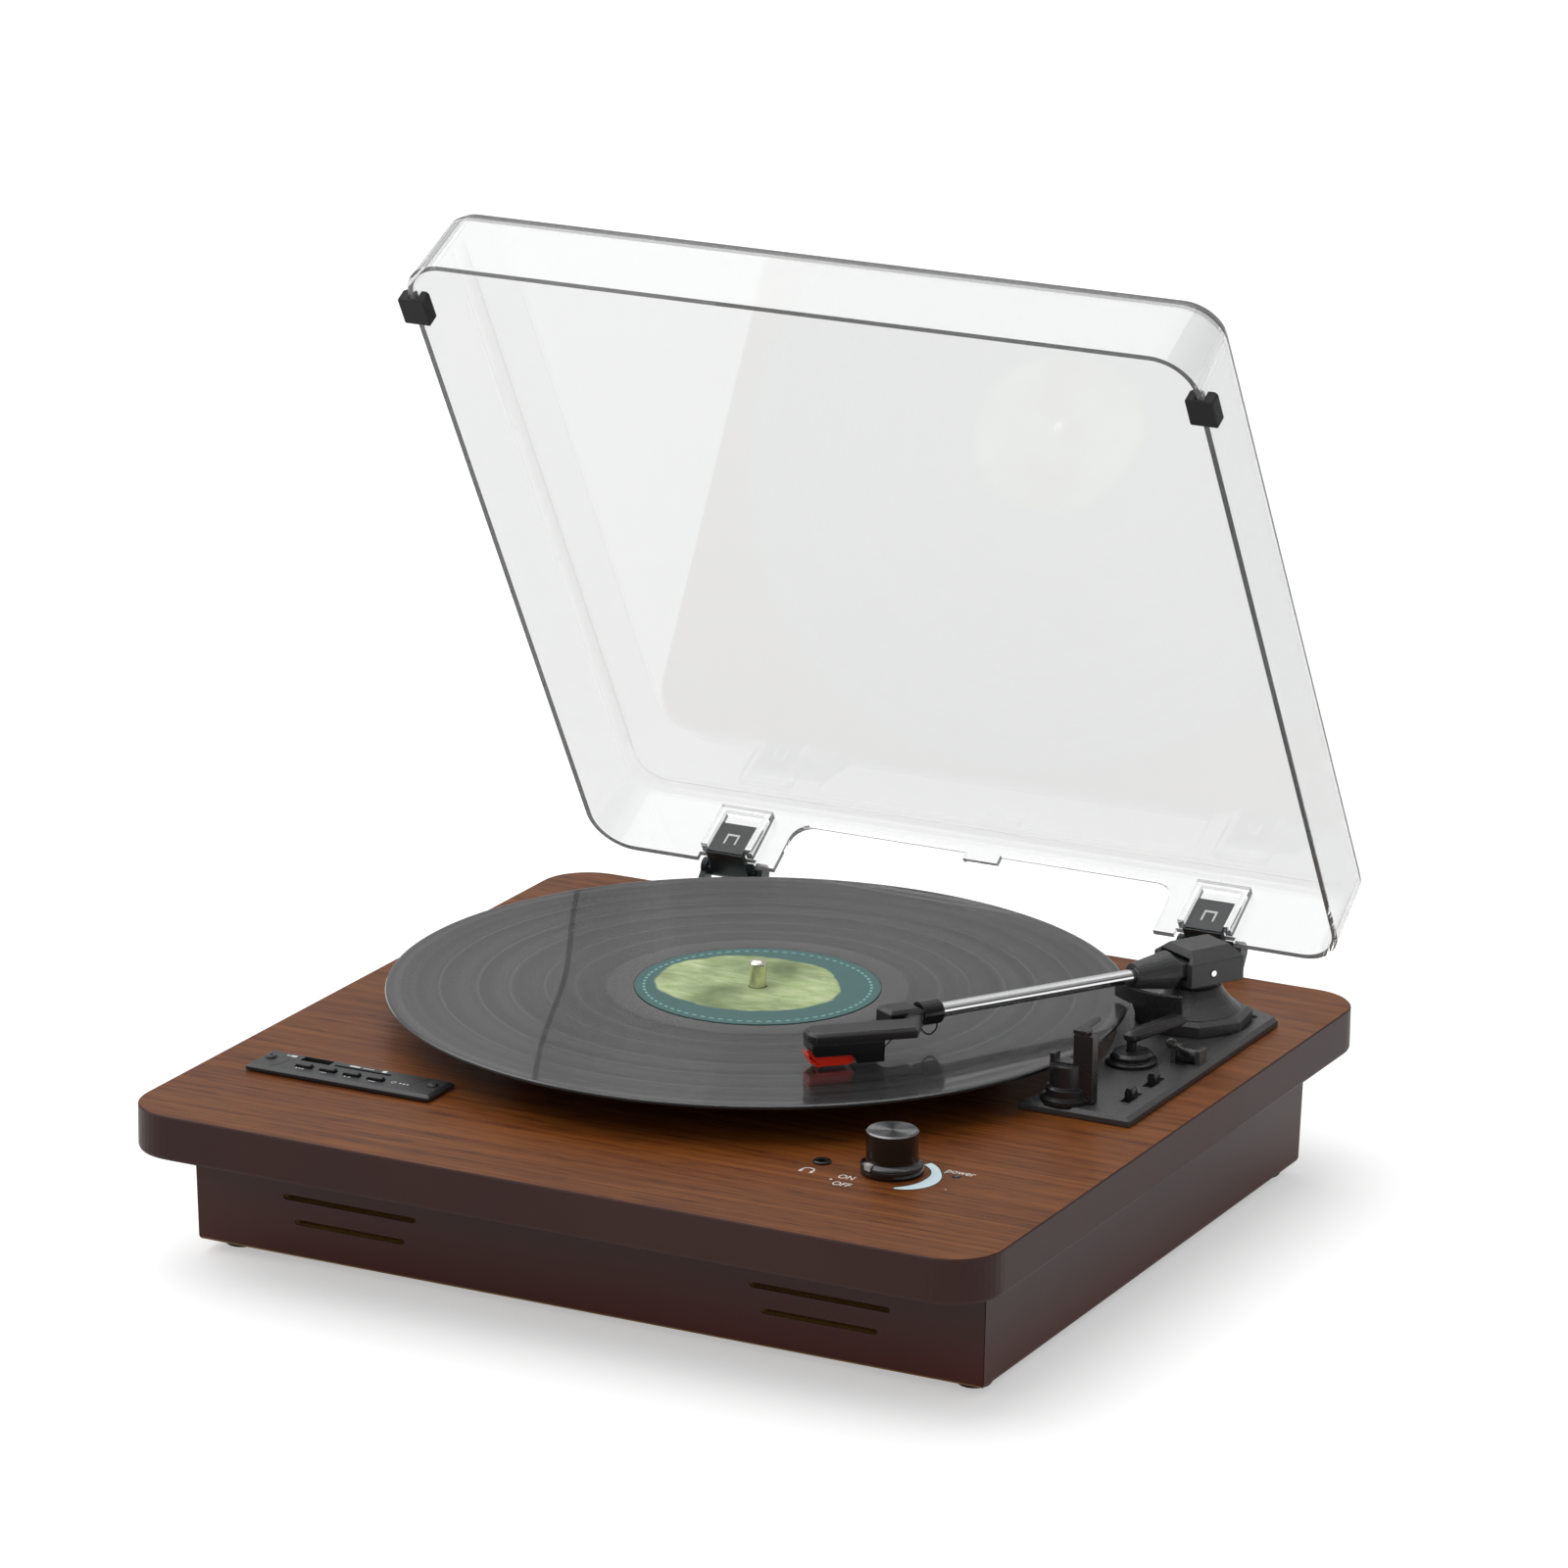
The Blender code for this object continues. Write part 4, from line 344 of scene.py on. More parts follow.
def make_veneer_group():
    """Flat-sawn grain along X with open pores."""
    group, given, result = new_group(
        "veneer grain",
        [("Light", "NodeSocketColor", (0.2, 0.1, 0.05, 1)), ("Dark", "NodeSocketColor", (0.1, 0.05, 0.02, 1)),
         ("Pore", "NodeSocketColor", (0.04, 0.02, 0.01, 1)), ("Figure", "NodeSocketFloat", 0.5)],
        [("Color", "NodeSocketColor"), ("Height", "NodeSocketFloat")])
    streak = noise(group, place(group, (8.0, 380.0, 60.0)), 6.0, 0.66, 0.30)
    swell = noise(group, place(group, (2.4, 15.0, 15.0)), 2.0, 0.5, 0.8)
    rings = calc(group, "SINE", calc(group, "MULTIPLY", swell, 58.0))
    figure = calc(group, "MULTIPLY", calc(group, "MULTIPLY_ADD", rings, 0.5, 0.5), given.outputs["Figure"])
    pores = noise(group, place(group, (62.0, 1250.0, 500.0)), 2.0, 0.6)
    pores = ramp(group, pores, 0.52, 0.60)
    pores = calc(group, "MULTIPLY", pores, ramp(group, streak, 0.40, 0.58))
    tone = calc(group, "ADD", ramp(group, streak, 0.33, 0.68), figure, clamp=True)
    wood = blend_colours(group, tone, given.outputs["Light"], given.outputs["Dark"])
    wood = blend_colours(group, calc(group, "MULTIPLY", pores, 0.85), wood, given.outputs["Pore"])
    feed(result, Color=wood, Height=one_minus(group, pores))


def make_moulded_group():
    """Fine spark-eroded texture of moulded plastic, with faint uneven gloss."""
    group, given, result = new_group(
        "moulded texture",
        [("Grain", "NodeSocketFloat", 1500.0), ("Gloss", "NodeSocketFloat", 0.5),
         ("Spread", "NodeSocketFloat", 0.1)],
        [("Height", "NodeSocketFloat"), ("Roughness", "NodeSocketFloat")])
    grain = add(group, "ShaderNodeTexNoise", Detail=2.0)
    feed(grain, Vector=place(group, (1.0, 1.0, 1.0)), Scale=given.outputs["Grain"])
    patches = noise(group, place(group, (60.0, 60.0, 60.0)), 3.0, 0.6)
    uneven = calc(group, "MULTIPLY", calc(group, "SUBTRACT", patches, 0.5), given.outputs["Spread"])
    feed(result, Height=grain.outputs["Fac"], Roughness=calc(group, "ADD", given.outputs["Gloss"], uneven))


def make_soft_edge_group():
    """Rounded look on sharp edges, and a mask of where those edges are."""
    group, given, result = new_group(
        "soft edge", [("Radius", "NodeSocketFloat", 0.0004)],
        [("Normal", "NodeSocketVector"), ("Edge", "NodeSocketFloat")])
    bevel = group.nodes.new("ShaderNodeBevel")
    bevel.samples = 6
    feed(bevel, Radius=given.outputs["Radius"])
    geometry = group.nodes.new("ShaderNodeNewGeometry")
    dot = group.nodes.new("ShaderNodeVectorMath")
    dot.operation = "DOT_PRODUCT"
    group.links.new(bevel.outputs[0], dot.inputs[0])
    group.links.new(geometry.outputs["Normal"], dot.inputs[1])
    edge = one_minus(group, dot.outputs["Value"])
    feed(result, Normal=bevel.outputs[0], Edge=calc(group, "MULTIPLY", edge, 3.0, clamp=True))


def moulded(name, base, gloss, grain=1500.0, depth=0.00006, strength=0.35, spread=0.14, radius=0.0004,
            edge_highlight=0.35, rim=0.012, **sockets):
    """Moulded plastic or rubber: fine texture, uneven gloss, rounded edges and a painted highlight along
    them.
    """
    material, tree, shader = surface(name, base, gloss, **sockets)
    texture = use_group(tree, "moulded texture", Grain=grain, Gloss=gloss, Spread=spread)
    edge = use_group(tree, "soft edge", Radius=radius)
    relief = add(tree, "ShaderNodeBump", Strength=strength, Distance=depth)
    feed(relief, Height=texture.outputs["Height"], Normal=edge.outputs["Normal"])
    # Edges are painted paler by the given amount: a painted highlight.
    edge_highlight_colour = tuple(min(1.0, 1.9 * c + rim) for c in base)
    shade = blend_colours(tree, calc(tree, "MULTIPLY", edge.outputs["Edge"], edge_highlight), base, edge_highlight_colour)
    feed(shader, Base_Color=shade, Roughness=texture.outputs["Roughness"], Normal=relief.outputs["Normal"])
    return material


def brushed(name, base, gloss, streaks=(40.0, 900.0, 900.0), amount=0.12, turn=(0.0, 0.0, 0.0), **sockets):
    """Bare metal with fine drawn or turned lines in its gloss."""
    material, tree, shader = surface(name, base, gloss, 1.0, **sockets)
    lines = noise(tree, place(tree, streaks, turn=turn), 3.0, 0.6)
    spread = calc(tree, "MULTIPLY", calc(tree, "SUBTRACT", lines, 0.5), amount)
    feed(shader, Roughness=calc(tree, "ADD", spread, gloss, clamp=True))
    return material


def put_on(material, *nodes):
    for node in nodes:
        mesh_object = NODES[node]
        if not mesh_object.material_slots:
            mesh_object.data.materials.append(material)
        for entry in mesh_object.material_slots:
            entry.material = material


# ---------------------------------------------------------------- mesh helpers


def piece(name, mesh, materials, body):
    """A new piece in the frame's axes that rides on a body."""
    bmesh.ops.recalc_face_normals(mesh, faces=mesh.faces)
    data = bpy.data.meshes.new(name)
    mesh.to_mesh(data)
    mesh.free()
    data.shade_smooth()
    data.set_sharp_from_angle(angle=SHARP_ANGLE)
    for material in materials:
        data.materials.append(material)
    made = bpy.data.objects.new(name, data)
    bpy.context.collection.objects.link(made)
    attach(made, body)
    return made


def turned(profile, centre, segments, bm=None, bands=None):
    """Body turned about an upright axis from a closed (radius, height) outline.

    Bands give each ring of faces its material number.
    """
    bm = bm or bmesh.new()
    rows = []
    for radius, height in profile:
        count = 1 if radius < 1e-7 else segments
        rows.append([bm.verts.new((centre[0] + radius * math.cos(2 * math.pi * k / segments),
                                   centre[1] + radius * math.sin(2 * math.pi * k / segments), height))
                     for k in range(count)])
    for k, here in enumerate(rows):
        there = rows[(k + 1) % len(rows)]
        if len(here) == 1 and len(there) == 1:
            continue
        for i in range(segments):
            j = (i + 1) % segments
            corners = [here[i % len(here)], here[j % len(here)], there[j % len(there)], there[i % len(there)]]
            face = bm.faces.new(list(dict.fromkeys(corners)))
            face.material_index = bands[k] if bands else 0
    return bm


def flat(bm, outline, low, high, move=None):
    """Closed prism over a flat outline of (x, y); move turns each corner into its final place."""
    move = move or (lambda p: p)
    rows = [[bm.verts.new(move(Vector((x, y, z)))) for x, y in outline] for z in (low, high)]
    count = len(outline)
    for i in range(count):
        j = (i + 1) % count
        bm.faces.new((rows[0][i], rows[0][j], rows[1][j], rows[1][i]))
    bm.faces.new(list(reversed(rows[0])))
    bm.faces.new(rows[1])


def sweep(cx, cy, inner, outer, start, end, steps=24):
    """Outline of a band between two radii; each may be a number or a function of the share along it."""
    grow_in = inner if callable(inner) else (lambda share: inner)
    grow_out = outer if callable(outer) else (lambda share: outer)
    shares = [k / steps for k in range(steps + 1)]

    def at(share, radius):
        angle = start + (end - start) * share
        return (cx + radius * math.cos(angle), cy + radius * math.sin(angle))

    return [at(s, grow_out(s)) for s in shares] + [at(s, grow_in(s)) for s in reversed(shares)]


def disc(cx, cy, radius, steps=20):
    return [(cx + radius * math.cos(2 * math.pi * k / steps), cy + radius * math.sin(2 * math.pi * k / steps))
            for k in range(steps)]


def block(cx, cy, width, depth):
    return [(cx - width / 2, cy - depth / 2), (cx + width / 2, cy - depth / 2),
            (cx + width / 2, cy + depth / 2), (cx - width / 2, cy + depth / 2)]


def wire(name, points, radius, material, body):
    """Thin bent wire through points, as a mesh tube."""
    bm = bmesh.new()
    curve = []
    for k in range(len(points) - 1):
        a, b = Vector(points[max(k - 1, 0)]), Vector(points[k])
        c, d = Vector(points[k + 1]), Vector(points[min(k + 2, len(points) - 1)])
        for t in (0.0, 0.25, 0.5, 0.75):
            curve.append(0.5 * ((2 * b) + (c - a) * t + (2 * a - 5 * b + 4 * c - d) * t ** 2
                                + (3 * b - a - 3 * c + d) * t ** 3))
    curve.append(Vector(points[-1]))
    rows = []
    for k, point in enumerate(curve):
        along = (curve[min(k + 1, len(curve) - 1)] - curve[max(k - 1, 0)]).normalized()
        side = along.cross(Vector((0.31, 0.17, 0.93))).normalized()
        up = side.cross(along)
        rows.append([bm.verts.new(point + radius * (math.cos(a) * side + math.sin(a) * up))
                     for a in (2 * math.pi * n / 8 for n in range(8))])
    for lower, upper in zip(rows, rows[1:]):
        for i in range(8):
            j = (i + 1) % 8
            bm.faces.new((lower[i], lower[j], upper[j], upper[i]))
    bm.faces.new(list(reversed(rows[0])))
    bm.faces.new(rows[-1])
    return piece(name, bm, [material], body)


def soften(width, *nodes):
    """Real rounded edges on frame pieces, as modifiers."""
    for node in nodes:
        made = NODES[node]
        weld = made.modifiers.new("weld", "WELD")
        weld.merge_threshold = 0.00001
        bevel = made.modifiers.new("edge", "BEVEL")
        bevel.width = width
        bevel.segments = 2
        bevel.limit_method = "ANGLE"
        bevel.angle_limit = math.radians(38)
        bevel.harden_normals = False
        normals = made.modifiers.new("normals", "WEIGHTED_NORMAL")
        normals.keep_sharp = False


def lid_point(x, y, z):
    """A point of the closed cover, from its hinge axis, carried to where the open cover stands."""
    turn = Matrix.Rotation(-LID_SWING, 3, "X")
    return LID_HINGE + turn @ Vector((x, y, z))


# ---------------------------------------------------------------- operators


class RECORDPLAYER_OT_shared(bpy.types.Operator):
    """Build the shader groups that several materials share"""
    bl_idname = "record_player.shared"
    bl_label = "Shared surface effects"

    def execute(self, context):
        make_veneer_group()
        make_moulded_group()
        make_soft_edge_group()
        return {"FINISHED"}


class RECORDPLAYER_OT_wood(bpy.types.Operator):
    """Stain the top board and the base panels"""
    bl_idname = "record_player.wood"
    bl_label = "Wooden plinth"

    def execute(self, context):
        finish = settings("wood")
        side, glow = finish.side, finish.glow

        material, tree, shader = surface("stained veneer", finish.light, 0.42, Specular_IOR_Level=0.17,
                                         Coat_Weight=0.05, Coat_Roughness=0.20)
        grain = use_group(tree, "veneer grain", Light=finish.light, Dark=finish.dark,
                          Pore=finish.pore, Figure=0.22)
        geometry = tree.nodes.new("ShaderNodeNewGeometry")
        upward = ramp(tree, split(tree, geometry.outputs["Normal"])["Z"], 0.80, 0.97)
        patches = noise(tree, place(tree, (9.0, 14.0, 9.0)), 2.0)
        edge_tone = blend_colours(tree, ramp(tree, patches, 0.45, 0.75), side, tuple(1.25 * c for c in side))
        relief = calc(tree, "MULTIPLY", grain.outputs["Height"], upward)
        feed(shader, Base_Color=blend_colours(tree, upward, edge_tone, grain.outputs["Color"]),
             Roughness=calc(tree, "MULTIPLY_ADD", ramp(tree, patches, 0.3, 0.7), 0.06, 0.38),
             Normal=bump(tree, relief, 0.28, 0.00006))
        put_on(material, "top_board")

        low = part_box("front_panel")[0][2]
        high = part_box("front_panel")[1][2]
        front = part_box("front_panel")[0][1]
        for name, slots in (("stained base", False), ("stained base with slots", True)):
            material, tree, shader = surface(name, side, 0.36, Specular_IOR_Level=0.28)
            parts = split(tree, tree.nodes.new("ShaderNodeTexCoord").outputs["Object"])
            patches = noise(tree, place(tree, (7.0, 7.0, 30.0)), 3.0, 0.6)
            drop = one_minus(tree, ramp(tree, parts["Z"], low, low + 0.75 * (high - low)))
            amount = calc(tree, "MULTIPLY", drop, calc(tree, "MULTIPLY_ADD", patches, 0.9, 0.15), clamp=True)
            shade = blend_colours(tree, amount, side, glow)
            if slots:
                inside = ramp(tree, parts["Y"], front + 0.0011, front + 0.0013)
                shade = blend_colours(tree, inside, shade, finish.raw)
            feed(shader, Base_Color=shade, Roughness=calc(tree, "MULTIPLY_ADD", patches, 0.10, 0.31),
                 Normal=bump(tree, noise(tree, place(tree, (30.0, 30.0, 400.0))), 0.05, 0.00004))
            put_on(material, *(("front_panel",) if slots else ("rear_panel", "left_panel", "right_panel")))

        board, tree, shader = surface("bare fibreboard", (0.34, 0.21, 0.10), 0.85)
        speckle = noise(tree, place(tree, (900.0, 900.0, 900.0)), 2.0)
        feed(shader, Base_Color=blend_colours(tree, speckle, (0.42, 0.28, 0.15), (0.24, 0.14, 0.06)))
        put_on(board, "bottom_board")
        return {"FINISHED"}


class RECORDPLAYER_OT_record(bpy.types.Operator):
    """Turn the grooved disc and print its label"""
    bl_idname = "record_player.record"
    bl_label = "Record and label"

    def execute(self, context):
        finish = settings("record")
        low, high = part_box("record_disc")
        bottom, top = low[2], high[2]
        radius = (high[0] - low[0]) / 2
        label = (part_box("record_label")[1][0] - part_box("record_label")[0][0]) / 2

        vinyl, tree, shader = surface("grooved vinyl", finish.vinyl, 0.2, Anisotropic=0.75,
                                      Anisotropic_Rotation=0.25, Specular_IOR_Level=0.30, Coat_Weight=0.62,
                                      Coat_Roughness=0.02)
        distance = reach(tree, from_axis(tree, SPINDLE))
        ring = line_noise(tree, distance, 460.0, 0.7)
        bands = line_noise(tree, distance, 130.0)
        gaps = None
        for band_radius, half in SMOOTH_BANDS:
            near = calc(tree, "ABSOLUTE", calc(tree, "SUBTRACT", distance, band_radius))
            here = one_minus(tree, ramp(tree, near, half, half + 0.0004))
            gaps = here if gaps is None else calc(tree, "MAXIMUM", gaps, here)
        groove = blend_colours(tree, ramp(tree, bands, 0.35, 0.65), (0.005, 0.005, 0.0053),
                               (0.021, 0.021, 0.022))
        wavy = calc(tree, "MULTIPLY_ADD", ring, 0.10, 0.20)
        relief = calc(tree, "MULTIPLY", ring, one_minus(tree, gaps))
        feed(shader, Base_Color=blend_colours(tree, gaps, groove, (0.040, 0.039, 0.039)),
             Roughness=blend_colours(tree, gaps, wavy, (0.13, 0.13, 0.13)),
             Normal=bump(tree, relief, 0.02, 0.00003))
        turned_sheen(tree, shader)

        grooved = top - GROOVE_DROP
        profile = [(BORE_RADIUS, bottom), (radius - 0.0010, bottom), (radius - 0.0003, bottom + 0.0003),
                   (radius, bottom + 0.0009), (radius - 0.0003, top - 0.0003), (radius - 0.0010, top),
                   (radius - 0.0018, top), (radius - 0.0042, grooved), (0.0625, grooved),
                   (0.0612, top - 0.5 * GROOVE_DROP), (label + 0.0016, top - 0.5 * GROOVE_DROP),
                   (label + 0.0009, top - 0.0001), (label + 0.0003, top - 0.0002),
                   (label + 0.0003, top - 0.0005), (BORE_RADIUS, top - 0.0005)]
        grooved_disc = piece("record_grooved", turned(profile, SPINDLE, finish.segments), [vinyl], "platter")
        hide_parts("record_disc")

        paper, tree, shader = surface("printed label", finish.ring, 0.5, Specular_IOR_Level=0.4)
        spot = from_axis(tree, SPINDLE)
        distance = reach(tree, spot)
        turn = heading(tree, spot)
        mottle = noise(tree, place(tree, (70.0, 210.0, 70.0), turn=(0.0, 0.0, 0.5)), 6.0, 0.7, 0.6)
        leaf = finish.field
        picture = blend_colours(tree, ramp(tree, mottle, 0.35, 0.68), leaf, (0.55, 0.62, 0.36))
        patches = ramp(tree, noise(tree, place(tree, (25.0, 25.0, 25.0))), 0.42, 0.7)
        shadowed = blend_colours(tree, patches, picture, tuple(0.40 * c for c in leaf))
        lobe = reach(tree, from_axis(tree, (SPINDLE[0] - 0.0050, SPINDLE[1] + 0.0010), 1.12))
        wander = noise(tree, place(tree, (46.0, 46.0, 46.0)), 4.0)
        ragged = calc(tree, "MULTIPLY_ADD", wander, 0.0085, lobe)
        field = one_minus(tree, ramp(tree, ragged, 0.0428, 0.0440))
        label_colour = blend_colours(tree, field, finish.ring, shadowed)
        dashes = ramp(tree, calc(tree, "SINE", calc(tree, "MULTIPLY", turn, 74.0)), -0.2, 0.2)
        from_line = calc(tree, "ABSOLUTE", calc(tree, "SUBTRACT", distance, DASHED_RADIUS))
        line = one_minus(tree, ramp(tree, from_line, 0.0004, 0.0006))
        marks = calc(tree, "MULTIPLY", calc(tree, "MULTIPLY", line, dashes), 0.8)
        feed(shader, Base_Color=blend_colours(tree, marks, label_colour, (0.22, 0.50, 0.48)),
             Normal=bump(tree, noise(tree, place(tree, (2500.0, 2500.0, 2500.0))), 0.08, 0.00003))
        low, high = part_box("record_label")
        outline = [(BORE_RADIUS, low[2]), (label, low[2]), (label, high[2] - 0.00005),
                   (label - 0.00008, high[2]), (BORE_RADIUS, high[2])]
        printed = piece("label_printed", turned(outline, SPINDLE, 128), [paper], "platter")
        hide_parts("record_label")
        return {"FINISHED"}


class RECORDPLAYER_OT_drive(bpy.types.Operator):
    """Finish the platter, mat, spindle, motor and belt"""
    bl_idname = "record_player.drive"
    bl_label = "Platter and drive"

    def execute(self, context):
        # The platter is made near black so that it reads as the shade under the record: painted shade.
        platter_shade = moulded("platter in painted shade", (0.0022, 0.0022, 0.0023), 0.60, 2600.0, 0.00004, 0.2, 0.08,
                        edge_highlight=0.1, Specular_IOR_Level=0.15)
        put_on(platter_shade, "platter")
        felt = moulded("felt mat", (0.020, 0.020, 0.021), 0.95, 5200.0, 0.0002, 0.8, 0.05, Sheen_Weight=0.4)
        put_on(felt, "slip_mat")
        spindle = brushed("polished spindle", (0.83, 0.79, 0.66), 0.13, (400.0, 400.0, 900.0), 0.08)
        put_on(spindle, "spindle")
        put_on(brushed("turned brass", (0.72, 0.52, 0.22), 0.25, (700.0, 700.0, 700.0), 0.1),
               "spindle_bearing", "motor_pulley")
        put_on(brushed("zinc plate", (0.55, 0.55, 0.57), 0.33, (500.0, 500.0, 500.0), 0.15),
               "motor", "volume_control")
        put_on(brushed("panel screw steel", (0.10, 0.10, 0.105), 0.36, (900.0, 900.0, 900.0), 0.1),
               "panel_screw_left", "panel_screw_right")
        rubber = moulded("matt rubber", (0.013, 0.013, 0.0135), 0.72, 3000.0, 0.00008, 0.5, 0.1)
        put_on(rubber, "drive_belt", "foot_front_left", "foot_front_right", "foot_rear_left",
               "foot_rear_right", "lid_bumper_left", "lid_bumper_right")
        soften(0.0007, "lid_bumper_left", "lid_bumper_right")
        return {"FINISHED"}


class RECORDPLAYER_OT_tonearm(bpy.types.Operator):
    """Finish the tonearm, its rest, lift and switches, and add the cartridge leads"""
    bl_idname = "record_player.tonearm"
    bl_label = "Tonearm"

    def execute(self, context):
        finish = settings("moulding")
        black = moulded("textured black moulding", finish.textured, 0.34, 1300.0, 0.00022, 1.0, 0.14,
                        radius=finish.edge, edge_highlight=0.8, rim=0.03)
        smooth = moulded("smooth black moulding", tuple(0.34 * c for c in finish.textured), 0.27, 2600.0,
                         0.00002, 0.1, 0.06, radius=finish.edge, edge_highlight=1.0, rim=0.08)
        gloss = moulded("gloss black moulding", finish.gloss, 0.17, 2600.0, 0.00001, 0.05, 0.05,
                        radius=finish.edge, edge_highlight=0.9, rim=0.06)
        put_on(black, "tonearm_base", "pedestal", "pivot_housing", "arm_sleeve")
        crisp = moulded("bevelled black moulding", finish.gloss, 0.24, 2600.0, 0.00001, 0.05, 0.05,
                        radius=0.0009, edge_highlight=1.0, rim=0.16)
        put_on(crisp, "headshell")
        put_on(smooth, "arm_rest_post", "arm_rest_clip", "cue_lever", "cue_lift_blade", "lift_damper",
               "speed_switch", "auto_stop_switch")
        put_on(gloss, "headshell_collar", "cartridge")
        put_on(moulded("red stylus guard", finish.red, 0.22, 1500.0, 0.00002, 0.1, 0.06, radius=0.0003,
                       edge_highlight=0.15, Coat_Weight=0.4, Coat_Roughness=0.08), "stylus_guard")
        polished = brushed("polished tube", (0.97, 0.97, 0.98), 0.12, (60.0, 60.0, 60.0), 0.02)
        put_on(polished, "tonearm_tube", "pivot_pin")
        soften(finish.edge, "pivot_housing", "headshell", "cartridge", "arm_rest_post", "cue_lift_blade",
               "speed_switch", "auto_stop_switch", "arm_rest_clip")

        # Leads from the cartridge's rear pins into the neck of the headshell.
        ahead = Vector((math.cos(ARM_HEADING), math.sin(ARM_HEADING), 0.0))
        near = Vector((-ahead.y, ahead.x, 0.0))
        start, collar = middle("cartridge"), middle("headshell_collar")
        back = Vector((collar[0] - start[0], collar[1] - start[1], 0.0)).normalized()
        side = Vector((-back.y, back.x, 0.0))
        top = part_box("cartridge")[1][2]
        for k, height in enumerate((-0.0030, -0.0030, -0.0062, -0.0062)):
            across = (-0.0028, 0.0026)[k % 2]
            origin = Vector((start[0], start[1], top + height)) + side * across + back * 0.0118
            tip = origin + back * 0.0042
            wire(f"cartridge_pin_{k + 1}", [origin, origin + back * 0.0020, tip], 0.00045, polished,
                 "arm")
            neck = Vector((tip.x, tip.y, top + 0.0012)) + back * 0.0105
            wire(f"cartridge_lead_{k + 1}",
                 [tip - back * 0.0006, tip + back * 0.0025 - Vector((0, 0, 0.0004)),
                  (tip + neck) / 2 + back * 0.0012 - Vector((0, 0, 0.0016)), neck],
                 0.00032, gloss, "arm")
        under = Vector((collar[0], collar[1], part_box("headshell_collar")[0][2]))
        loop = [under + near * beside + ahead * along + Vector((0.0, 0.0, rise)) for beside, along, rise in (
            (0.0020, -0.0030, 0.0026), (0.0030, -0.0020, -0.0012), (0.0032, 0.0012, -0.0030),
            (0.0028, 0.0042, -0.0014), (0.0020, 0.0058, 0.0028))]
        wire("tube_lead_loop", loop, 0.00035, gloss, "arm")
        return {"FINISHED"}


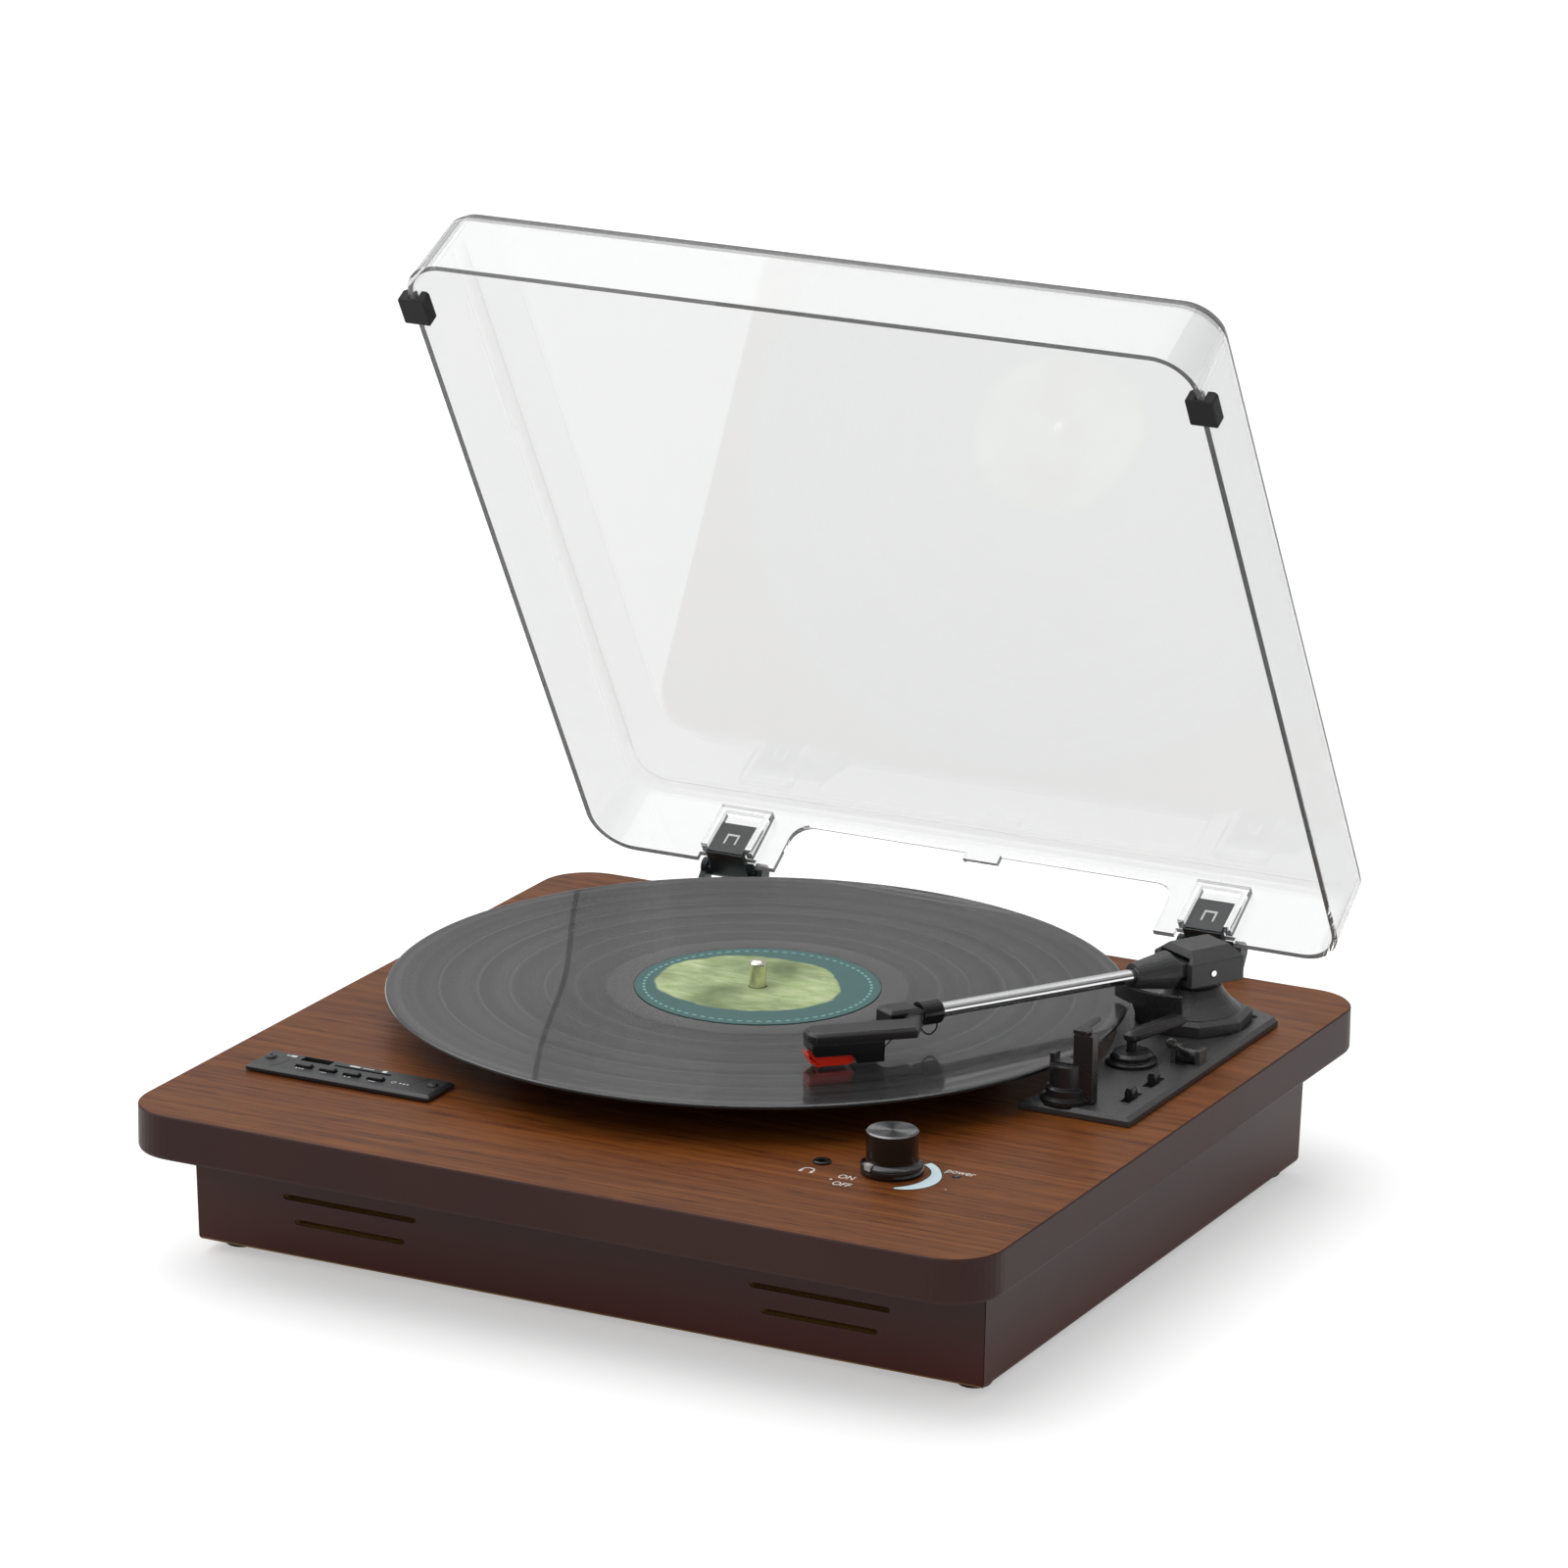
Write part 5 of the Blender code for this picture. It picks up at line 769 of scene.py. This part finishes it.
class RECORDPLAYER_OT_controls(bpy.types.Operator):
    """Finish the control panel, knob, sockets and boards"""
    bl_idname = "record_player.controls"
    bl_label = "Knob and control panel"

    def execute(self, context):
        finish = settings("moulding")
        shape = settings("knob")
        satin = moulded("satin panel", finish.satin, 0.34, 3200.0, 0.00003, 0.15, 0.10, radius=0.0004)
        gloss = bpy.data.materials["gloss black moulding"]
        put_on(satin, "control_panel")
        put_on(gloss, "button_mode", "button_previous", "button_play", "button_next", "headphone_socket",
               "rear_socket_plate", "power_inlet")
        soften(0.00035, "button_mode", "button_previous", "button_play", "button_next")
        lens = moulded("lamp lens", (0.05, 0.05, 0.06), 0.1, 900.0, 0.00001, 0.05, 0.03)
        put_on(lens, "power_lamp")

        board, tree, shader = surface("circuit board", (0.02, 0.11, 0.05), 0.35, Coat_Weight=0.3)
        cells = tree.nodes.new("ShaderNodeTexVoronoi")
        cells.feature = "DISTANCE_TO_EDGE"
        cells.inputs["Scale"].default_value = 260.0
        feed(cells, Vector=place(tree, (1.0, 1.0, 1.0)))
        tracks = ramp(tree, cells.outputs["Distance"], 0.06, 0.1)
        feed(shader, Base_Color=blend_colours(tree, tracks, (0.06, 0.25, 0.12), (0.02, 0.11, 0.05)))
        put_on(board, "main_board", "media_board")
        cone = moulded("paper cone", (0.02, 0.02, 0.021), 0.8, 2000.0, 0.0001, 0.6)
        put_on(cone, "speaker_left", "speaker_right")

        side = moulded("knob side", (0.006, 0.006, 0.0063), 0.16, 2400.0, 0.00001, 0.05, 0.04, edge_highlight=0.6,
                       rim=0.03, Coat_Weight=0.4, Coat_Roughness=0.06)
        spun, tree, shader = surface("spun knob top", (0.085, 0.085, 0.088), 0.30, 1.0, Anisotropic=0.95,
                                      Anisotropic_Rotation=0.25)
        spot = from_axis(tree, KNOB)
        rings = line_noise(tree, reach(tree, spot), 5200.0)
        turn = heading(tree, spot)
        # Bright and dark wedges round the top are painted into its colour: a painted highlight, as of light
        # on a turned face.
        painted_fan_highlight = calc(tree, "COSINE", calc(tree, "MULTIPLY_ADD", turn, 2.0, -0.35))
        painted_fan_highlight = calc(tree, "POWER", calc(tree, "MULTIPLY_ADD", painted_fan_highlight, 0.5, 0.5), 5.0)
        rays = calc(tree, "COSINE", calc(tree, "MULTIPLY_ADD", turn, 4.0, 1.1))
        painted_fan_highlight = calc(tree, "MULTIPLY_ADD", calc(tree, "MULTIPLY_ADD", rays, 0.5, 0.5), 0.22, painted_fan_highlight, clamp=True)
        feed(shader, Base_Color=blend_colours(tree, painted_fan_highlight, (0.020, 0.020, 0.021), (0.46, 0.46, 0.47)),
             Roughness=calc(tree, "MULTIPLY_ADD", rings, 0.16, 0.22),
             Normal=bump(tree, rings, 0.25, 0.00004))
        turned_sheen(tree, shader)
        bright = brushed("cut edge", (0.20, 0.20, 0.21), 0.22, (900.0, 900.0, 900.0), 0.1)

        low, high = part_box("volume_knob")
        top, skirt = high[2], (high[0] - low[0]) / 2
        base = DECK_TOP + 0.0003
        cut = shape.chamfer
        profile = [(0.0, top - 0.00025), (KNOB_RADIUS - cut - 0.0010, top - 0.00012),
                   (KNOB_RADIUS - cut, top), (KNOB_RADIUS, top - cut), (KNOB_RADIUS, base + 0.0050),
                   (KNOB_RADIUS + 0.0002, base + 0.0047), (skirt - 0.0008, base + 0.0040),
                   (skirt - 0.0002, base + 0.0037), (skirt, base + 0.0031), (skirt, base + 0.0003),
                   (skirt - 0.0003, base), (0.0030, base), (0.0030, low[2]), (0.0, low[2])]
        bands = [1, 1, 2] + [0] * (len(profile) - 3)
        knob = piece("volume_knob_turned", turned(profile, KNOB, shape.segments, bands=bands),
                     [side, spun, bright], "volume_knob")
        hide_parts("volume_knob")
        pale = moulded("marker ink", (0.50, 0.50, 0.49), 0.5, 2500.0, 0.00002, 0.1)
        bm = bmesh.new()
        half = shape.marker / 2 / skirt
        flat(bm, sweep(KNOB[0], KNOB[1], KNOB_RADIUS - 0.0001, skirt + 0.00004,
                       POINTER_HEADING - half, POINTER_HEADING + half, 6), base + 0.0026, base + 0.0051)
        piece("knob_marker", bm, [pale], "volume_knob")
        return {"FINISHED"}


class RECORDPLAYER_OT_marks(bpy.types.Operator):
    """Print the symbols on the deck and the control panel"""
    bl_idname = "record_player.marks"
    bl_label = "Printed marks"

    def execute(self, context):
        marks = settings("marks")
        ink = moulded("white ink", marks.ink, 0.55, 2500.0, 0.00001, 0.1, edge_highlight=0.0)
        scale_ink = moulded("scale ink", marks.scale, 0.45, 2500.0, 0.00001, 0.1, edge_highlight=0.0)
        outline_ink = moulded("scale outline", (0.02, 0.015, 0.012), 0.5, 2500.0, 0.00001, 0.1, edge_highlight=0.0)
        low, high = DECK_TOP + 0.00002, DECK_TOP + 0.00002 + marks.depth

        start, end = marks.start, marks.end

        def inner(share, grow=0.0):
            return 0.0183 - 0.0033 * min(1.0, share * 2.2) ** 0.7 + 0.0002 * share - grow

        def outer(share, grow=0.0):
            swell = math.sin(math.pi * min(1.0, share * 1.35 + 0.02)) ** 0.8 if share < 0.74 else 0.0
            return 0.0187 + 0.0042 * swell * (1.0 - share) + grow

        bm = bmesh.new()
        flat(bm, sweep(KNOB[0], KNOB[1], inner, outer, start, end, 36), low + 0.00002, high + 0.00002)
        piece("volume_scale", bm, [scale_ink], "chassis")
        bm = bmesh.new()
        grow = 0.00035
        flat(bm, sweep(KNOB[0], KNOB[1], lambda s: inner(s, grow), lambda s: outer(s, grow),
                       start - 0.02, end + 0.02, 36), low, high)
        piece("volume_scale_outline", bm, [outline_ink], "chassis")

        def word(bm, text, x, y, size, slant):
            """Plain small letters laid on the deck, x and y at their middle."""
            line = bpy.data.curves.new(text, "FONT")
            line.body, line.size, line.extrude = text, size, marks.depth / 2
            line.align_x, line.align_y = "CENTER", "CENTER"
            holder = bpy.data.objects.new(text, line)
            mesh = bpy.data.meshes.new_from_object(holder)
            mesh.transform(Matrix.Translation((x, y, (low + high) / 2)) @ Matrix.Rotation(slant, 4, "Z")
                           @ Matrix.Diagonal((1.0, 1.35, 1.0, 1.0)))
            bm.from_mesh(mesh)
            for item, store in ((holder, bpy.data.objects), (line, bpy.data.curves), (mesh, bpy.data.meshes)):
                store.remove(item)

        jack, lamp = middle("headphone_socket"), middle("power_lamp")
        bm = bmesh.new()
        ear_x, ear_y = jack[0] - 0.0008, jack[1] - 0.0106
        flat(bm, sweep(ear_x, ear_y, 0.0021, 0.0028, math.radians(-15), math.radians(195), 18), low, high)
        for end_side in (-1, 1):
            flat(bm, block(ear_x + end_side * 0.0023, ear_y - 0.0014, 0.0013, 0.0026), low, high)
        dot_x, dot_y = jack[0] + 0.0117, jack[1] - 0.0159
        flat(bm, disc(dot_x, dot_y, 0.0006, 12), low, high)
        word(bm, "ON", dot_x + 0.0044, dot_y + 0.0046, 0.0044, 0.0)
        word(bm, "OFF", dot_x + 0.0062, dot_y - 0.0034, 0.0044, 0.0)
        piece("socket_marks", bm, [ink], "chassis")
        bm = bmesh.new()
        word(bm, "power", lamp[0] - 0.0004, lamp[1] + 0.0050, 0.0046, 0.0)
        flat(bm, disc(lamp[0] + 0.0027, lamp[1] - 0.0150, 0.0004, 10), low, high)
        piece("power_marks", bm, [ink], "chassis")

        panel = middle("control_panel")
        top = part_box("control_panel")[1][2]
        low, high = top + 0.00002, top + 0.00002 + marks.depth
        bm = bmesh.new()

        def arrow(x, y, size):
            half = size / 2
            return [(x - half, y - half), (x + half, y), (x - half, y + half)]

        # Each button's symbol from left to right: an arrow has a size, a bar or dot a width and a depth.
        bar, dot = (0.0003, 0.0012), (0.0008, 0.0010)
        symbols = {
            "mode": ((-0.0014, *dot), (0.0, *dot), (0.0014, *dot)),
            "previous": ((-0.0014, *bar), (-0.0006, -0.0011), (0.0006, -0.0011)),
            "play": ((-0.0008, 0.0012), (0.0005, *bar), (0.0012, *bar)),
            "next": ((-0.0006, 0.0011), (0.0006, 0.0011), (0.0014, *bar)),
        }
        for name, shapes in symbols.items():
            button = middle("button_" + name)
            for shift, *size in shapes:
                outline = block if len(size) == 2 else arrow
                flat(bm, outline(button[0] - 0.0006 + shift, button[1] - 0.0030, *size), low, high)
        # A plug beside its port, and a card, its slot and its notch.
        for x, y, width, depth in ((-0.0293, 0.0066, 0.0026, 0.0018), (-0.0317, 0.0066, 0.0018, 0.0010),
                                   (-0.0016, 0.0071, 0.0048, 0.0014), (0.0046, 0.0071, 0.0052, 0.0006),
                                   (0.0120, 0.0071, 0.0020, 0.0022)):
            flat(bm, block(panel[0] + x, panel[1] + y, width, depth), low, high)
        led = (panel[0] + 0.0214, panel[1] - 0.0022)
        flat(bm, sweep(led[0], led[1], 0.0008, 0.0011, 0.0, math.radians(359.5), 16), low, high)
        for k in range(3):
            flat(bm, block(led[0] + 0.0030 + k * 0.0016, led[1], 0.0009, 0.0011), low, high)
        piece("panel_marks", bm, [ink], "chassis")

        # Dark flat strips round the screws and along the panel's curved edges stand for its grooves: painted
        # shade.
        shadow = moulded("painted groove shade", (0.008, 0.008, 0.0085), 0.5, 2000.0, 0.00001, 0.1, edge_highlight=0.0)
        bm = bmesh.new()
        for node in ("panel_screw_left", "panel_screw_right"):
            screw = middle(node)
            flat(bm, sweep(screw[0], screw[1], 0.0024, 0.0028, 0.0, math.radians(359.5), 28), low, high)
        for side in (-1, 1):
            centre = panel[0] + side * 0.0405
            middle_angle = math.pi if side > 0 else 0.0
            flat(bm, sweep(centre, panel[1], 0.0112, 0.0114, middle_angle - 0.78, middle_angle + 0.78, 16),
                 low, high)
        piece("panel_groove_shade", bm, [shadow], "chassis")
        return {"FINISHED"}


class RECORDPLAYER_OT_cover(bpy.types.Operator):
    """Make the cover clear, finish its hinges and add the clip plates"""
    bl_idname = "record_player.cover"
    bl_label = "Clear cover and hinges"

    def execute(self, context):
        finish = settings("moulding")
        clear, tree, shader = surface("clear acrylic", finish.clear, 0.03, Transmission_Weight=0.94, IOR=1.46)
        haze = noise(tree, place(tree, (18.0, 18.0, 18.0)), 3.0, 0.6)
        feed(shader, Roughness=calc(tree, "MULTIPLY_ADD", haze, 0.03, 0.005))
        put_on(clear, "lid")
        NODES["lid"].visible_shadow = False
        hinge = moulded("hinge black", (0.006, 0.015, 0.017), 0.28, 2200.0, 0.00004, 0.2, 0.1,
                        radius=finish.edge)
        put_on(hinge, "hinge_bracket_left", "hinge_bracket_right", "hinge_leaf_left", "hinge_leaf_right")

        plate = brushed("clip plate", finish.clip, 0.42, (700.0, 700.0, 700.0), 0.12)
        pale = moulded("clip cut-out", (0.72, 0.73, 0.73), 0.5, 2000.0, 0.00001, 0.1, edge_highlight=0.0)
        for label in ("left", "right"):
            x = middle("hinge_leaf_" + label)[0]
            bm = bmesh.new()

            def on_tongue(p, x=x):
                return lid_point(x + p.x, CLIP_FACE - p.z, COVER_RIM + p.y)

            flat(bm, block(0.0, 0.0096, 0.0168, 0.0166), 0.00005, 0.00035, on_tongue)
            piece("clip_plate_" + label, bm, [plate], "lid")
            bm = bmesh.new()
            flat(bm, [(-0.0030, 0.0062), (-0.0021, 0.0062), (-0.0021, 0.0109), (0.0021, 0.0109),
                      (0.0021, 0.0062), (0.0030, 0.0062), (0.0030, 0.0120), (-0.0030, 0.0120)],
                 0.00036, 0.00042, on_tongue)
            piece("clip_slot_" + label, bm, [pale], "lid")
        return {"FINISHED"}


class RECORDPLAYER_OT_stage(bpy.types.Operator):
    """Lay the floor, hang the lamps and place the camera"""
    bl_idname = "record_player.stage"
    bl_label = "Studio"

    def execute(self, context):
        studio = settings("studio")
        scene = context.scene

        bm = bmesh.new()
        bmesh.ops.create_grid(bm, x_segments=1, y_segments=1, size=14.0)
        data = bpy.data.meshes.new("studio_floor")
        bm.to_mesh(data)
        bm.free()
        floor = bpy.data.objects.new("studio_floor", data)
        floor.location = (0.0, 0.0, -0.0002)
        scene.collection.objects.link(floor)
        material, tree, shader = surface("pale floor", studio.floor, 0.9, Specular_IOR_Level=0.1)
        rays = tree.nodes.new("ShaderNodeLightPath")
        preset(shader, Emission_Color=(1.0, 1.0, 1.0))
        indirect = calc(tree, "MAXIMUM", rays.outputs["Is Transmission Ray"], rays.outputs["Is Glossy Ray"])
        glow = calc(tree, "MULTIPLY_ADD", rays.outputs["Is Camera Ray"], studio.lift,
                    calc(tree, "MULTIPLY", indirect, studio.mirror))
        feed(shader, Emission_Strength=glow)
        data.materials.append(material)

        world = bpy.data.worlds.new("studio")
        scene.world = world
        world.use_nodes = True
        tree = world.node_tree
        background = tree.nodes["Background"]
        preset(background, Color=(1.0, 1.0, 1.0))
        direction = tree.nodes.new("ShaderNodeTexCoord")
        parts = split(tree, direction.outputs["Generated"])
        across = calc(tree, "MULTIPLY_ADD", parts["X"], -0.5, parts["Y"])
        rear = ramp(tree, across, -0.25, 0.75)
        low = calc(tree, "MULTIPLY_ADD", rear, studio.horizon - studio.front, studio.front)
        high = ramp(tree, parts["Z"], 0.62, 0.80)
        glossy = calc(tree, "MULTIPLY_ADD", high, calc(tree, "SUBTRACT", studio.overhead, low), low)
        rays = tree.nodes.new("ShaderNodeLightPath")
        mirrored = calc(tree, "MINIMUM", rays.outputs["Glossy Depth"], 1.0)
        mirrored = calc(tree, "MULTIPLY", mirrored, one_minus(tree, rays.outputs["Is Diffuse Ray"]))
        direct = calc(tree, "MAXIMUM", rays.outputs["Is Camera Ray"], rays.outputs["Is Transmission Ray"])
        direct = calc(tree, "MULTIPLY", direct, one_minus(tree, mirrored))
        shiny = calc(tree, "MULTIPLY", mirrored, calc(tree, "SUBTRACT", glossy, studio.sky))
        strength = calc(tree, "ADD", calc(tree, "ADD", shiny, studio.sky),
                        calc(tree, "MULTIPLY", direct, 1.0 - studio.sky))
        feed(background, Strength=strength)

        for name, aim, power in (("key", (-0.42, 0.12, 0.90), studio.key),
                                 ("fill", (-0.7, -0.5, 0.5), studio.fill)):
            lamp = bpy.data.lights.new("studio_" + name, "SUN")
            lamp.angle = LAMP_SPREAD
            lamp.energy = power
            made = bpy.data.objects.new("studio_" + name, lamp)
            made.location = aim
            made.rotation_mode = "QUATERNION"
            made.rotation_quaternion = (-Vector(aim)).to_track_quat("-Z", "Y")
            scene.collection.objects.link(made)

        camera = bpy.data.objects.new("camera", bpy.data.cameras.new("camera"))
        camera.data.lens = studio.lens
        camera.data.clip_start = 0.1
        camera.data.clip_end = 60.0
        camera.location = CAMERA_PLACE
        camera.rotation_euler = CAMERA_TURN
        scene.collection.objects.link(camera)
        scene.camera = camera
        scene.view_settings.view_transform = "Standard"
        return {"FINISHED"}


class RECORDPLAYER_PT_panel(bpy.types.Panel):
    """Sizes and colours of the record player"""
    bl_label = "Record player"
    bl_space_type = "VIEW_3D"
    bl_region_type = "UI"
    bl_category = "Record player"

    def draw(self, context):
        for name in GROUPS:
            part = self.layout.box()
            part.label(text=name.capitalize())
            values = settings(name)
            for key in values.bl_rna.properties.keys():
                if key not in ("rna_type", "name"):
                    part.prop(values, key)
        for operator in OPERATORS:
            self.layout.operator(operator.bl_idname)


GROUPS = {
    "wood": WoodFinish,
    "record": RecordFinish,
    "moulding": MouldingFinish,
    "marks": PrintedMarks,
    "knob": KnobShape,
    "studio": StudioSettings,
}
OPERATORS = (RECORDPLAYER_OT_shared, RECORDPLAYER_OT_wood, RECORDPLAYER_OT_record, RECORDPLAYER_OT_drive,
             RECORDPLAYER_OT_tonearm, RECORDPLAYER_OT_controls, RECORDPLAYER_OT_marks, RECORDPLAYER_OT_cover,
             RECORDPLAYER_OT_stage)
CLASSES = (*GROUPS.values(), *OPERATORS, RECORDPLAYER_PT_panel)


def register():
    for item in CLASSES:
        bpy.utils.register_class(item)
    for name, group in GROUPS.items():
        setattr(bpy.types.Scene, "record_player_" + name, PointerProperty(type=group))


def unregister():
    for name in GROUPS:
        delattr(bpy.types.Scene, "record_player_" + name)
    for item in reversed(CLASSES):
        bpy.utils.unregister_class(item)


def main():
    register()
    for operator in OPERATORS:
        getattr(bpy.ops.record_player, operator.bl_idname.split(".")[1])()


if __name__ == "__main__":
    main()
